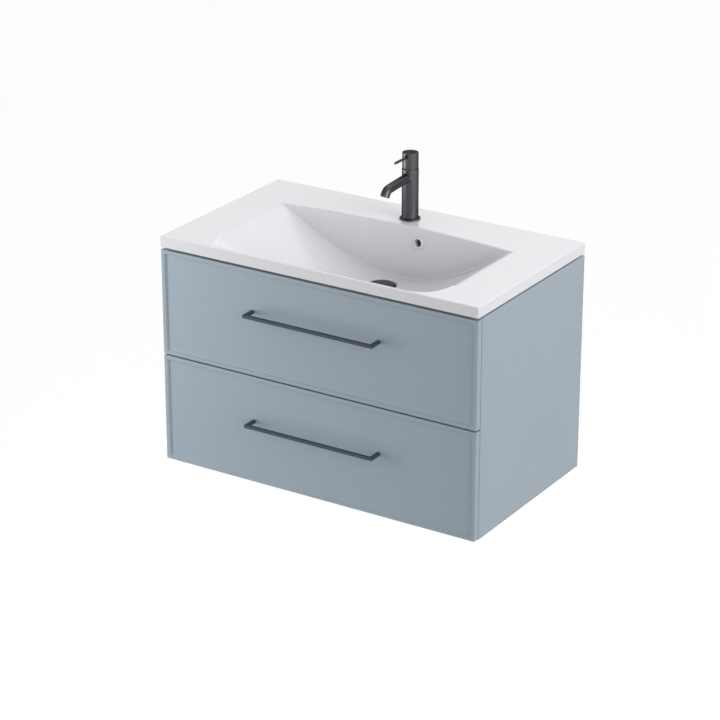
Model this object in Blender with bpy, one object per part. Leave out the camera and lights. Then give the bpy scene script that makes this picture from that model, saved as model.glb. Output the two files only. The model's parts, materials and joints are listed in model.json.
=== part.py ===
"""Wall-hung bathroom vanity: two-drawer cabinet, ceramic basin, mixer tap, waste and bottle trap.

Metres, +Z up.  +X is the cabinet's right-hand side, the wall is the plane Y = 0 and the drawer fronts
face -Y.  The origin is the middle of the wall rail's back face, which is screwed to the wall.
"""
import math

import bmesh
import bpy
from mathutils import Matrix, Vector

# ---------------------------------------------------------------- driving dimensions
GAP = 0.0003                    # clearance kept between pieces that touch

# cabinet
WIDTH = 0.800
DEPTH = 0.460                   # wall to the face of the drawer fronts
BOARD = 0.016                   # board thickness of sides, bottom and fronts
CABINET_BOTTOM = -0.4378
FRONT_CLEARANCE = 0.0013        # between the fronts' backs and the side panels' front edges
SIDE_DEPTH = DEPTH - BOARD - FRONT_CLEARANCE
INNER_X = WIDTH / 2 - BOARD     # inner face of a side panel
PANEL_ROUND = 0.0008
HANGING_BOARD_FRONT_Y, HANGING_BOARD_BACK_Y = -0.030, -0.014
HANGING_BOARD_LOW, HANGING_BOARD_HIGH = -0.045, 0.040
LOWER_BOARD_LOW, LOWER_BOARD_HIGH = -0.410, -0.330

# wall rail and hangers
RAIL_HALF_LENGTH = INNER_X - 0.003
RAIL_SHEET = 0.002
RAIL_LOW, RAIL_STEP_Z, RAIL_LIP_Z = -0.017, 0.010, 0.0185
RAIL_LIP_Y = -0.0098            # front of the upturned lip that the hooks hang on
RAIL_HOLE_X = (-0.30, -0.15, 0.15, 0.30)
RAIL_HOLE_Z = -0.004
RAIL_HOLE_RADIUS = 0.004
HANGER_X = INNER_X - 0.014
HOOK_HALF_WIDTH, HOOK_SLOT_HALF_WIDTH = 0.006, 0.009
HOOK_LOW, HOOK_HIGH, HOOK_TIP_Z = 0.0200, 0.0225, 0.0123
HOOK_ROOT_Y, HOOK_TIP_Y, HOOK_END_Y = -0.040, -0.0068, -0.0042
HOUSING_WIDTH = 0.025
HOUSING_FRONT_Y = -0.048
HOUSING_LOW, HOUSING_HIGH = -0.030, 0.034

# basin
BASIN_WIDTH = 0.802
BASIN_DEPTH = 0.462
SLAB_BOTTOM = 0.070
SLAB_TOP = 0.0947
SLAB_ROUND = 0.003
SHADOW_GAP = 0.005              # height of the inset ledge that lifts the slab off the side panels
LEDGE_INSET = 0.0085
LEDGE_FRONT_Y, LEDGE_BACK_Y = -0.439, -0.002
DECK_THICKNESS = 0.013
CERAMIC = 0.012                 # wall thickness of the bowl
BOWL_HALF_WIDTH = 0.2925
BOWL_BACK_Y = -0.1155           # back rim of the bowl at x = 0
BOWL_BACK_BOW = 0.022           # how far the back rim curves forward towards both ends
BOWL_FRONT_Y = -0.452
BOWL_CORNER = 0.072             # plan radius of the bowl's two front corners
BOWL_FLOOR_Z = -0.025
BOWL_RAMP_POWER = 1.95          # the floor rises to both sides as |x| to this power
BOWL_FRONT_POWER = 1.9
BOWL_FRONT_RUN = 0.212          # length of the rise from the floor to the front lip, where the bowl is deepest
FRONT_RUN_POWER = 0.7           # the run shortens as the bowl's depth to this power
SHORTEST_FRONT_RUN = 0.004
BACK_WALL_LEAN = math.tan(math.radians(5))
CREASE_FILLET = 0.007
FILLET_STEPS = 4
RIM_RISE = 0.008                # how far the bowl's surface is carried above the slab to cut it cleanly

# waste and overflow
WASTE_Y = -0.190
WASTE_DIP = 0.0015
WASTE_DIP_RADIUS = 0.060
WASTE_SEAT_Z = -0.030
WASTE_FLANGE_RADIUS = 0.033
WASTE_BORE_RADIUS = 0.0235      # hole through the ceramic
WASTE_TUBE_RADIUS = 0.021
WASTE_TUBE_BORE = 0.0185
WASTE_TUBE_LOW = -0.085
PLUG_STEM_RADIUS = 0.0040
BOSS_RADIUS = 0.040
BOSS_BOTTOM, BOSS_TOP = -0.048, -0.023
OVERFLOW_X = 0.050
OVERFLOW_Z = 0.061
OVERFLOW_RADIUS = 0.0105
OVERFLOW_BORE_RADIUS = 0.0088
OVERFLOW_RIM_RADIUS = 0.0140
OVERFLOW_RIM_Y = BOWL_BACK_Y - BOWL_BACK_BOW * (OVERFLOW_X / BOWL_HALF_WIDTH) ** 2
OVERFLOW_WALL_Y = OVERFLOW_RIM_Y - (SLAB_TOP - OVERFLOW_Z) * BACK_WALL_LEAN
OVERFLOW_YAW = -2 * BOWL_BACK_BOW * OVERFLOW_X / BOWL_HALF_WIDTH ** 2
DUCT_Y = -0.0993
DUCT_HALF_WIDTH, DUCT_HALF_DEPTH = 0.014, 0.0075
DUCT_RUN_HALF_WIDTH = 0.009
DUCT_WALL = 0.007
DUCT_FLOOR = -0.042

# drawers
UPPER_FRONT_TOP = 0.0638
FRONT_SPLIT_Z = -0.1829
FRONT_SPLIT = 0.0036
LOWER_FRONT_BOTTOM = -0.4356
FRONT_WIDTH = 0.799
BORDER = 0.0085                 # raised border of a front
RECESS = 0.0035                 # depth of a front's recessed field
RECESS_CORNER = 0.006
EDGE_ROUND = 0.0015
DRAWER_BOARD = 0.012
DRAWER_BOTTOM = 0.008
BOTTOM_RISE = 0.006             # a drawer's bottom stands this far above the lower edge of its sides
DRAWER_FRONT_Y = BOARD - DEPTH + GAP
DRAWER_BACK_Y = -0.050
UPPER_BOX_LOW, UPPER_BOX_HIGH = -0.165, -0.056
LOWER_BOX_LOW, LOWER_BOX_HIGH = -0.415, -0.265
NOTCH_HALF_WIDTH = 0.085        # notch of the upper drawer round the trap
NOTCH_FRONT_Y = -0.265

# runners; each member's pair is the x of its web and of the lips of its flanges, on the right-hand side
RUNNER_ROOM = 0.0127            # free width for a runner between cabinet side and drawer side
DRAWER_SIDE_X = INNER_X - RUNNER_ROOM
DRAWER_REACH = DRAWER_SIDE_X - DRAWER_BOARD - GAP
RUNNER_FRONT_Y, RUNNER_BACK_Y = -0.4405, -0.0405
RUNNER_SHEET = 0.0012
UPPER_RUNNER_Z, LOWER_RUNNER_Z = -0.1300, -0.3650
OUTER_MEMBER_X = (INNER_X - GAP, DRAWER_SIDE_X + 0.0026)
MIDDLE_MEMBER_X = (INNER_X - 0.0030, DRAWER_SIDE_X + 0.0020)
INNER_MEMBER_X = (DRAWER_SIDE_X + GAP, DRAWER_SIDE_X + 0.0065)

# handles
HANDLE_LENGTH = 0.328
HANDLE_BAR = 0.0075
HANDLE_PROJECTION = 0.036
UPPER_HANDLE_Z = -0.0335
LOWER_HANDLE_Z = -0.2905

# tap
TAP_Y = -0.0720
TAP_RADIUS = 0.0187
TAP_HOLE_RADIUS = 0.0172
TAP_BASE_RADIUS, TAP_BASE_INNER = 0.0234, 0.0164
TAP_BASE_HEIGHT = 0.004
GASKET_RADIUS = 0.0202
TAP_SPLIT_Z = 0.2122            # top of the body, where the turning head starts
TAP_SPLIT = 0.0016
BODY_BORE_RADIUS, BODY_BORE_LOW = 0.0110, 0.1110
CARTRIDGE_RADIUS, CARTRIDGE_LOW = 0.0140, 0.1753
HEAD_RADIUS = 0.0181
HEAD_TOP = 0.2490
HEAD_WALL, HEAD_ROOF = 0.0030, 0.0024
LEVER_Z = 0.2407
LEVER_RADIUS = 0.0030
LEVER_TIP_Y = -0.1365
SLOT_HALF_WIDTH, SLOT_ABOVE_LEVER = 0.0034, 0.0059
HUB_RADIUS, HUB_HALF_LENGTH = 0.0038, 0.008
SPOUT_RADIUS = 0.0103
SPOUT_BORE_RADIUS = 0.0074
SPOUT_Z = 0.1945
SPOUT_SLOPE = math.radians(3.5)
SPOUT_END_SLOPE = math.radians(62)
SPOUT_BEND_Y = -0.160
SPOUT_BEND_RADIUS = 0.020
SPOUT_END_RUN = 0.0035
BEND_STEPS = 8
AERATOR_RADIUS, AERATOR_BORE_RADIUS = 0.0086, 0.0056
INLET_X, INLET_SET_BACK, INLET_RADIUS = 0.0075, 0.006, 0.0045
STUD_RADIUS = 0.0037
STUD_Y = TAP_Y - 0.0122
STUD_LOW, STUD_TOP = 0.032, 0.108
PLATE_THICKNESS = 0.0025
TAP_NUT_RADIUS, TAP_NUT_HEIGHT = 0.0075, 0.008

# trap
TRAP_OUTLET_Z = -0.145
PIPE_RADIUS = 0.016
PIPE_WALL = 0.0015
SPIGOT_RADIUS, SPIGOT_END = 0.0190, 0.0520

# sides of round pieces
FINE_ROUND = 48                 # large or prominent
ROUND = 32
FEW_SIDES = 16                  # small


# ---------------------------------------------------------------- materials
def paint(name, colour, roughness, metallic=0.0):
    """A Principled material with one colour, roughness and metallic value."""
    material = bpy.data.materials.new(name)
    material.use_nodes = True
    shader = material.node_tree.nodes["Principled BSDF"]
    shader.inputs["Base Color"].default_value = (*colour, 1.0)
    shader.inputs["Roughness"].default_value = roughness
    shader.inputs["Metallic"].default_value = metallic
    material.diffuse_color = (*colour, 1.0)
    return material


def make_materials():
    """One entry for each finish of the object."""
    return {
        "lacquer": paint("lacquer", (0.33, 0.39, 0.44), 0.38),
        "ceramic": paint("ceramic", (0.86, 0.86, 0.87), 0.12),
        "gunmetal": paint("gunmetal", (0.115, 0.115, 0.12), 0.32, 0.9),
        "handle_metal": paint("handle_metal", (0.075, 0.10, 0.12), 0.42, 0.5),
        "drawer_board": paint("drawer_board", (0.46, 0.47, 0.47), 0.55),
        "zinc": paint("zinc", (0.62, 0.64, 0.66), 0.30, 1.0),
        "trap_plastic": paint("trap_plastic", (0.85, 0.85, 0.84), 0.35),
        "rubber": paint("rubber", (0.03, 0.03, 0.03), 0.75),
        "waste_metal": paint("waste_metal", (0.05, 0.05, 0.055), 0.30, 0.8),
        "brass": paint("brass", (0.62, 0.47, 0.22), 0.30, 1.0),
        "cartridge": paint("cartridge", (0.70, 0.70, 0.68), 0.45),
    }


# ---------------------------------------------------------------- making and combining solids
def finish(name, mesh_data, material=None, location=(0, 0, 0), smooth=False):
    """Turn a bmesh into a named object with outward faces at a location."""
    bmesh.ops.recalc_face_normals(mesh_data, faces=mesh_data.faces)
    mesh = bpy.data.meshes.new(name)
    mesh_data.to_mesh(mesh)
    mesh_data.free()
    if smooth:
        mesh.shade_smooth()
        mesh.set_sharp_from_angle(angle=math.radians(35))
    thing = bpy.data.objects.new(name, mesh)
    thing.location = location
    bpy.context.scene.collection.objects.link(thing)
    if material:
        mesh.materials.append(material)
    return thing


def box(name, low, high, material=None):
    """A rectangular block between two corners, with its origin at its middle."""
    low, high = Vector(low), Vector(high)
    size = high - low
    mesh_data = bmesh.new()
    bmesh.ops.create_cube(mesh_data, size=1.0)
    bmesh.ops.scale(mesh_data, vec=size, verts=mesh_data.verts)
    return finish(name, mesh_data, material, (low + high) / 2)


def prism(name, outline, low, high, axis="Z", material=None):
    """A flat outline extruded along an axis.

    The outline's pairs are (x, y) for axis Z, (x, z) for axis Y and (y, z) for axis X.
    """
    slot = "XYZ".index(axis)
    mesh_data = bmesh.new()
    start = [mesh_data.verts.new((*pair[:slot], low, *pair[slot:])) for pair in outline]
    end = [mesh_data.verts.new((*pair[:slot], high, *pair[slot:])) for pair in outline]
    mesh_data.faces.new(start)
    mesh_data.faces.new(list(reversed(end)))
    count = len(outline)
    for i in range(count):
        j = (i + 1) % count
        mesh_data.faces.new((start[j], start[i], end[i], end[j]))
    return finish(name, mesh_data, material)


def turned(name, profile, location, material=None, sides=ROUND, axis="Z"):
    """A turned piece from a closed profile of (radius, height) points; a radius of 0 lies on the axis."""
    mesh_data = bmesh.new()
    rings = []
    for radius, height in profile:
        if radius == 0:
            rings.append([mesh_data.verts.new((0, 0, height))])
            continue
        points = arc((0, 0), radius, 0, 360 - 360 / sides, sides - 1)
        rings.append([mesh_data.verts.new((x, y, height)) for x, y in points])
    for k, ring in enumerate(rings):
        bridge_rings(mesh_data, ring, rings[(k + 1) % len(rings)], sides)
    thing = finish(name, mesh_data, material, location, smooth=True)
    if axis == "Y":
        thing.rotation_euler = (-math.pi / 2, 0, 0)
    if axis == "X":
        thing.rotation_euler = (0, math.pi / 2, 0)
    return thing


def bridge_rings(mesh_data, first, second, sides):
    """Join two rings of a turned piece; either may be a single point on the axis."""
    if len(first) == 1 and len(second) == 1:
        return
    for i in range(sides):
        j = (i + 1) % sides
        if len(first) == 1:
            mesh_data.faces.new((first[0], second[i], second[j]))
        elif len(second) == 1:
            mesh_data.faces.new((first[i], second[0], first[j]))
        else:
            mesh_data.faces.new((first[i], second[i], second[j], first[j]))


def rod(name, radius, low, high, location, material=None, sides=ROUND, axis="Z"):
    """A plain round bar from low to high along an axis through a location."""
    profile = [(0, low), (radius, low), (radius, high), (0, high)]
    return turned(name, profile, location, material, sides, axis)


def ring(name, outer, inner, low, high, location, material=None, sides=ROUND, axis="Z"):
    """A plain ring from low to high along an axis through a location."""
    profile = [(inner, low), (outer, low), (outer, high), (inner, high)]
    return turned(name, profile, location, material, sides, axis)


def swept(name, path, radius, material=None, sides=24):
    """A round solid along a path of points in the YZ plane, with flat ends."""
    mesh_data = bmesh.new()
    rings = []
    across = Vector((1, 0, 0))
    for k, point in enumerate(path):
        before = path[max(k - 1, 0)]
        after = path[min(k + 1, len(path) - 1)]
        heading = (after - before).normalized()
        up = heading.cross(across)
        offsets = arc((0, 0), radius, 0, 360 - 360 / sides, sides - 1)
        rings.append([mesh_data.verts.new(point + a * across + b * up) for a, b in offsets])
    for first, second in zip(rings, rings[1:]):
        bridge_rings(mesh_data, first, second, sides)
    mesh_data.faces.new(rings[0])
    mesh_data.faces.new(rings[-1])
    return finish(name, mesh_data, material, smooth=True)


def combine(target, tool, operation):
    """Cut a tool from a target or join it on, and keep the tool as a hidden wire shape."""
    modifier = target.modifiers.new(tool.name, "BOOLEAN")
    modifier.operation = operation
    modifier.solver = "EXACT"
    modifier.object = tool
    tool.hide_render = True
    tool.display_type = "WIRE"


def cut(target, *tools):
    """Cut each tool from a target."""
    for tool in tools:
        combine(target, tool, "DIFFERENCE")


def join(target, *tools):
    """Join each tool on to a target."""
    for tool in tools:
        combine(target, tool, "UNION")


def soften(target, width, segments=1):
    """Round a piece's sharp edges with a small bevel."""
    modifier = target.modifiers.new("edge_round", "BEVEL")
    modifier.width = width
    modifier.segments = segments
    modifier.limit_method = "ANGLE"
    modifier.angle_limit = math.radians(40)


def pivot(name, location, parent=None):
    """An empty on a joint's axis, which carries the pieces that move with the joint."""
    empty = bpy.data.objects.new(name, None)
    empty.empty_display_size = 0.03
    bpy.context.scene.collection.objects.link(empty)
    empty.location = location
    if parent:
        carry(parent, [empty])
    return empty


def carry(parent, pieces):
    """Parent pieces to an empty, whose location is its place in the world, and leave them where they are."""
    for piece in pieces:
        piece.parent = parent
        piece.matrix_parent_inverse = Matrix.Translation(-parent.location)


def arc(centre, radius, start, end, steps):
    """Points on an arc from a start angle to an end angle, in degrees."""
    points = []
    for i in range(steps + 1):
        angle = math.radians(start + (end - start) * i / steps)
        points.append((centre[0] + radius * math.cos(angle), centre[1] + radius * math.sin(angle)))
    return points


def rounded_rectangle(low, high, radius, steps=4):
    """Outline of a rectangle with round corners."""
    (x0, y0), (x1, y1) = low, high
    points = arc((x1 - radius, y1 - radius), radius, 0, 90, steps)
    points += arc((x0 + radius, y1 - radius), radius, 90, 180, steps)
    points += arc((x0 + radius, y0 + radius), radius, 180, 270, steps)
    points += arc((x1 - radius, y0 + radius), radius, 270, 360, steps)
    return points


# ---------------------------------------------------------------- cabinet
def make_cabinet(mats):
    """Side panels, bottom panel and the two back boards."""
    lacquer, board = mats["lacquer"], mats["drawer_board"]
    side_top = SLAB_BOTTOM - SHADOW_GAP - GAP
    for name, side in (("side_panel_left", -1), ("side_panel_right", 1)):
        low_x, high_x = sorted((side * INNER_X, side * WIDTH / 2))
        panel = box(name, (low_x, -SIDE_DEPTH, CABINET_BOTTOM), (high_x, 0, side_top), lacquer)
        soften(panel, PANEL_ROUND)
    reach = INNER_X - GAP
    bottom_high = CABINET_BOTTOM + BOARD
    bottom = box("bottom_panel", (-reach, 0.001 - SIDE_DEPTH, CABINET_BOTTOM), (reach, 0, bottom_high), lacquer)
    soften(bottom, PANEL_ROUND)
    hanging = box("hanging_board", (-reach, HANGING_BOARD_FRONT_Y, HANGING_BOARD_LOW),
                  (reach, HANGING_BOARD_BACK_Y, HANGING_BOARD_HIGH), board)
    for side in (-1, 1):
        centre = side * HANGER_X
        slot = box(f"cutter_hook_slot_{side}",
                   (centre - HOOK_SLOT_HALF_WIDTH, HANGING_BOARD_FRONT_Y - 0.01, HOOK_LOW - 0.0050),
                   (centre + HOOK_SLOT_HALF_WIDTH, HANGING_BOARD_BACK_Y + 0.01, HOOK_HIGH + 0.0045))
        cut(hanging, slot)
    box("lower_board", (-reach, -BOARD, LOWER_BOARD_LOW), (reach, 0, LOWER_BOARD_HIGH), board)


def make_wall_fixing(mats):
    """The steel rail on the wall and the two hangers that hook over its lip."""
    zinc = mats["zinc"]
    lip_back = RAIL_LIP_Y + RAIL_SHEET
    section = [
        (0, RAIL_LOW), (0, RAIL_STEP_Z + RAIL_SHEET), (lip_back, RAIL_STEP_Z + RAIL_SHEET),
        (lip_back, RAIL_LIP_Z), (RAIL_LIP_Y, RAIL_LIP_Z), (RAIL_LIP_Y, RAIL_STEP_Z), (-RAIL_SHEET, RAIL_STEP_Z),
        (-RAIL_SHEET, RAIL_LOW),
    ]
    rail = prism("wall_rail", section, -RAIL_HALF_LENGTH, RAIL_HALF_LENGTH, "X", zinc)
    for x in RAIL_HOLE_X:
        hole = rod(f"cutter_rail_hole_{x:.2f}", RAIL_HOLE_RADIUS, -0.01, 0.01, (x, 0, RAIL_HOLE_Z),
                   sides=FEW_SIDES, axis="Y")
        cut(rail, hole)
    for name, side in (("hanger_left", -1), ("hanger_right", 1)):
        make_hanger(name, side * HANGER_X, zinc)


def make_hanger(name, x, material):
    """A housing in front of the hanging board with a hook arm through its slot."""
    hook = [
        (HOOK_ROOT_Y, HOOK_LOW), (HOOK_TIP_Y, HOOK_LOW), (HOOK_TIP_Y, HOOK_TIP_Z), (HOOK_END_Y, HOOK_TIP_Z),
        (HOOK_END_Y, HOOK_HIGH), (HOOK_ROOT_Y, HOOK_HIGH),
    ]
    hanger = prism(name, hook, x - HOOK_HALF_WIDTH, x + HOOK_HALF_WIDTH, "X", material)
    half = HOUSING_WIDTH / 2
    housing = box(f"{name}_housing", (x - half, HOUSING_FRONT_Y, HOUSING_LOW),
                  (x + half, HANGING_BOARD_FRONT_Y - GAP, HOUSING_HIGH))
    join(hanger, housing)


# ---------------------------------------------------------------- basin
def bowl_edge_y(x, half_width, front_y):
    """Y of the bowl's front edge at x, with round plan corners."""
    into_corner = min(max(abs(x) - (half_width - BOWL_CORNER), 0), BOWL_CORNER)
    return front_y + BOWL_CORNER - math.sqrt(BOWL_CORNER ** 2 - into_corner ** 2)


def bowl_floor_z(x, half_width, floor_z, top_z):
    """Height of the ramped floor at x: lowest in the middle, level with the top at both ends."""
    return floor_z + (top_z - floor_z) * (abs(x) / half_width) ** BOWL_RAMP_POWER


def leaning_wall(back_y, top_z, z):
    """The point of the bowl's leaning back wall at height z."""
    return Vector((back_y - (top_z - z) * BACK_WALL_LEAN, z))


def bowl_wall_points(back_y, top_z, ramp_z, steps):
    """The back wall from above the rim down to the start of the fillet, then the fillet at its foot."""
    rim_z = top_z + RIM_RISE
    fillet = min(CREASE_FILLET, (rim_z - ramp_z) / 2)
    crease = leaning_wall(back_y, top_z, ramp_z)
    wall_foot = leaning_wall(back_y, top_z, ramp_z + fillet)
    floor_start = crease - Vector((fillet, 0))
    points = []
    for i in range(steps):
        points.append(leaning_wall(back_y, top_z, rim_z + (wall_foot.y - rim_z) * i / steps))
    for i in range(FILLET_STEPS):
        t = i / FILLET_STEPS
        points.append(wall_foot * (1 - t) ** 2 + crease * 2 * t * (1 - t) + floor_start * t ** 2)
    return points, floor_start


def bowl_column(x, shape, steps):
    """Points of the bowl's surface in the plane at x, from the back rim down and forward to the front rim."""
    half_width, middle_back_y, front_y, floor_z, top_z = shape
    back_y = middle_back_y - BOWL_BACK_BOW * (x / half_width) ** 2
    wall_steps, floor_steps, front_steps = steps
    ramp_z = bowl_floor_z(x, half_width, floor_z, top_z)
    points, floor_start = bowl_wall_points(back_y, top_z, ramp_z, wall_steps)
    depth = max(top_z - ramp_z, 0) / (top_z - floor_z)
    run = max(BOWL_FRONT_RUN * depth ** FRONT_RUN_POWER, SHORTEST_FRONT_RUN)
    rise_start = bowl_edge_y(x, half_width, front_y) + run
    for i in range(floor_steps):
        points.append(Vector((floor_start.x + (rise_start - floor_start.x) * i / floor_steps, ramp_z)))
    rise = max(top_z - ramp_z, 0.001)
    reach = ((top_z + RIM_RISE - ramp_z) / rise) ** (1 / BOWL_FRONT_POWER)
    for i in range(front_steps + 1):
        t = reach * i / front_steps
        points.append(Vector((rise_start - run * t, ramp_z + rise * t ** BOWL_FRONT_POWER)))
    return points


def column_x(i, columns, half_width):
    """X of column i: the columns stand closer together towards both ends and run a little past them."""
    swing = math.radians(81)
    return 1.015 * half_width * math.sin(2 * swing * (i / columns - 0.5)) / math.sin(swing)


def bowl_solid(name, shape, columns, steps):
    """A closed solid that fills the bowl, up to a flat top above its rim."""
    mesh_data = bmesh.new()
    lines = []
    for i in range(columns + 1):
        x = column_x(i, columns, shape[0])
        line = []
        for y, z in bowl_column(x, shape, steps):
            away = math.hypot(x, y - WASTE_Y)
            sink = WASTE_DIP * max(0, 1 - away / WASTE_DIP_RADIUS) ** 2
            line.append(mesh_data.verts.new((x, y, z - sink)))
        lines.append(line)
    for first, second in zip(lines, lines[1:]):
        for j in range(len(first) - 1):
            mesh_data.faces.new((first[j], first[j + 1], second[j + 1], second[j]))
        mesh_data.faces.new((first[-1], first[0], second[0], second[-1]))
    mesh_data.faces.new(lines[0])
    mesh_data.faces.new(lines[-1])
    return finish(name, mesh_data)


def make_basin(mats):
    """The ceramic basin: slab with an inset ledge, hollow underside, bowl, waste boss and overflow duct."""
    half = BASIN_WIDTH / 2
    basin = box("basin", (-half, -BASIN_DEPTH, SLAB_BOTTOM), (half, 0, SLAB_TOP), mats["ceramic"])
    soften(basin, SLAB_ROUND, 2)
    ledge_x = half - LEDGE_INSET
    ledge_low = SLAB_BOTTOM - SHADOW_GAP
    ledge = box("basin_ledge", (-ledge_x, LEDGE_FRONT_Y, ledge_low),
                (ledge_x, LEDGE_BACK_Y, SLAB_BOTTOM + 0.004))
    join(basin, ledge)
    pocket = box("cutter_underside", (CERAMIC - ledge_x, LEDGE_FRONT_Y + CERAMIC, ledge_low - 0.01),
                 (ledge_x - CERAMIC, LEDGE_BACK_Y - CERAMIC, SLAB_TOP - DECK_THICKNESS))
    cut(basin, pocket)
    add_bowl_outside(basin)
    inner_shape = (BOWL_HALF_WIDTH, BOWL_BACK_Y, BOWL_FRONT_Y, BOWL_FLOOR_Z, SLAB_TOP)
    cut(basin, bowl_solid("cutter_bowl", inner_shape, 32, (4, 5, 7)))
    centre = (0, WASTE_Y, 0)
    seat_radius = WASTE_FLANGE_RADIUS + 0.001
    cut(basin, rod("cutter_waste_seat", seat_radius, WASTE_SEAT_Z, 0.02, centre, sides=FINE_ROUND))
    cut(basin, rod("cutter_waste_bore", WASTE_BORE_RADIUS, -0.07, 0.0, centre))
    cut(basin, rod("cutter_tap_hole", TAP_HOLE_RADIUS, 0.05, 0.12, (0, TAP_Y, 0)))
    overflow = rod("cutter_overflow", OVERFLOW_RADIUS, -0.024, 0.018, (OVERFLOW_X, OVERFLOW_WALL_Y, OVERFLOW_Z))
    overflow.rotation_euler = (-math.pi / 2 - math.atan(BACK_WALL_LEAN), 0, OVERFLOW_YAW)
    cut(basin, overflow)
    cut_overflow_duct(basin)


def add_bowl_outside(basin):
    """The outside of the bowl below the deck, with the waste boss and the overflow duct's walls."""
    outer_shape = (BOWL_HALF_WIDTH + CERAMIC, BOWL_BACK_Y + CERAMIC, BOWL_FRONT_Y + 0.0020,
                   BOWL_FLOOR_Z - CERAMIC, SLAB_TOP - RIM_RISE - 0.004)
    join(basin, bowl_solid("basin_bowl_outside", outer_shape, 20, (2, 3, 4)))
    join(basin, rod("basin_waste_boss", BOSS_RADIUS, BOSS_BOTTOM, BOSS_TOP, (0, WASTE_Y, 0), sides=FINE_ROUND))
    half = DUCT_HALF_WIDTH + DUCT_WALL
    upright = box("basin_duct_upright", (OVERFLOW_X - half, DUCT_Y - 0.022, DUCT_FLOOR - DUCT_WALL),
                  (OVERFLOW_X + half, DUCT_Y + DUCT_HALF_DEPTH + DUCT_WALL, 0.0855))
    run_low = DUCT_FLOOR - DUCT_WALL + 0.0025
    run = duct_run("basin_duct_run", DUCT_RUN_HALF_WIDTH + DUCT_WALL, run_low, -0.027, 0.008)
    join(basin, upright, run)


def duct_run(name, half_width, low, high, overrun):
    """A block below the bowl's floor, from the foot of the overflow duct to the waste boss."""
    start, end = Vector((OVERFLOW_X, DUCT_Y)), Vector((0, WASTE_Y))
    along = (end - start).normalized()
    across = Vector((-along.y, along.x)) * half_width
    start, end = start - along * overrun, end - along * 0.012
    outline = [start + across, end + across, end - across, start - across]
    return prism(name, [tuple(point) for point in outline], low, high)


def cut_overflow_duct(basin):
    """The duct's hollow, open to the overflow hole and to the waste bore."""
    top = OVERFLOW_Z + OVERFLOW_RADIUS + 0.0005
    upright = box("cutter_duct_upright", (OVERFLOW_X - DUCT_HALF_WIDTH, DUCT_Y - DUCT_HALF_DEPTH, DUCT_FLOOR),
                  (OVERFLOW_X + DUCT_HALF_WIDTH, DUCT_Y + DUCT_HALF_DEPTH, top))
    run = duct_run("cutter_duct_run", DUCT_RUN_HALF_WIDTH, DUCT_FLOOR + 0.001, -0.034, -0.002)
    cut(basin, upright, run)


def make_overflow_ring(mats):
    """The sleeve and rim that line the overflow hole."""
    rim, face = OVERFLOW_RIM_RADIUS, -0.0032
    tube = OVERFLOW_RADIUS - GAP
    sleeve = turned("overflow_ring", [
        (OVERFLOW_BORE_RADIUS, face), (OVERFLOW_BORE_RADIUS, 0.010), (tube, 0.010), (tube, -0.0004),
        (rim, -0.0004), (rim, -0.0018), (rim - 0.002, face),
    ], (OVERFLOW_X, OVERFLOW_WALL_Y, OVERFLOW_Z), mats["ceramic"])
    sleeve.rotation_euler = (-math.pi / 2 - math.atan(BACK_WALL_LEAN), 0, OVERFLOW_YAW)


# ---------------------------------------------------------------- tap
def spout_heading(slope):
    """Direction of the spout's centre line where it falls by a slope."""
    return Vector((0, -math.cos(slope), -math.sin(slope)))


def spout_inward(slope):
    """Direction from the centre line towards the middle of the bend."""
    return Vector((0, math.sin(slope), -math.cos(slope)))


def spout_path(end_run):
    """Centre line of the spout: gently down and forward, round the bend, then down to the mouth."""
    start = Vector((0, TAP_Y, SPOUT_Z))
    straight = (TAP_Y - SPOUT_BEND_Y) / math.cos(SPOUT_SLOPE)
    bend_start = start + spout_heading(SPOUT_SLOPE) * straight
    centre = bend_start + spout_inward(SPOUT_SLOPE) * SPOUT_BEND_RADIUS
    path = [start + spout_heading(SPOUT_SLOPE) * 0.004]
    for i in range(BEND_STEPS + 1):
        slope = SPOUT_SLOPE + (SPOUT_END_SLOPE - SPOUT_SLOPE) * i / BEND_STEPS
        path.append(centre - spout_inward(slope) * SPOUT_BEND_RADIUS)
    path.append(path[-1] + spout_heading(SPOUT_END_SLOPE) * end_run)
    return path


def make_tap_body(mats):
    """Tap column with its spout, bored out, and the aerator in the spout's mouth."""
    base, centre = SLAB_TOP + TAP_BASE_HEIGHT + GAP, (0, TAP_Y, 0)
    body = rod("tap_body", TAP_RADIUS, base, TAP_SPLIT_Z, centre, mats["gunmetal"], FINE_ROUND)
    join(body, swept("tap_spout_outside", spout_path(SPOUT_END_RUN), SPOUT_RADIUS))
    cut(body, rod("cutter_cartridge_seat", CARTRIDGE_RADIUS + GAP, CARTRIDGE_LOW - GAP, 0.22, centre))
    cut(body, rod("cutter_body_bore", BODY_BORE_RADIUS, BODY_BORE_LOW, 0.18, centre))
    cut(body, swept("cutter_spout_bore", spout_path(SPOUT_END_RUN + 0.01), SPOUT_BORE_RADIUS, sides=FEW_SIDES))
    mouth = spout_path(SPOUT_END_RUN)[-1]
    heading = spout_heading(SPOUT_END_SLOPE)
    seat_path = [mouth - heading * 0.0065, mouth + heading * 0.006]
    cut(body, swept("cutter_mouth", seat_path, AERATOR_RADIUS + GAP))
    for side in (-1, 1):
        inlet = (side * INLET_X, TAP_Y + INLET_SET_BACK, 0)
        cut(body, rod(f"cutter_inlet_{side}", INLET_RADIUS, 0.09, 0.12, inlet, sides=FEW_SIDES))
    stud_place = (0, STUD_Y, 0)
    cut(body, rod("cutter_stud_hole", STUD_RADIUS + GAP, 0.09, STUD_TOP + 0.0005, stud_place, sides=FEW_SIDES))
    aerator = ring("aerator", AERATOR_RADIUS, AERATOR_BORE_RADIUS, -0.0060, -0.0008, mouth, mats["zinc"])
    aerator.rotation_euler = heading.to_track_quat("Z", "X").to_euler()


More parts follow.
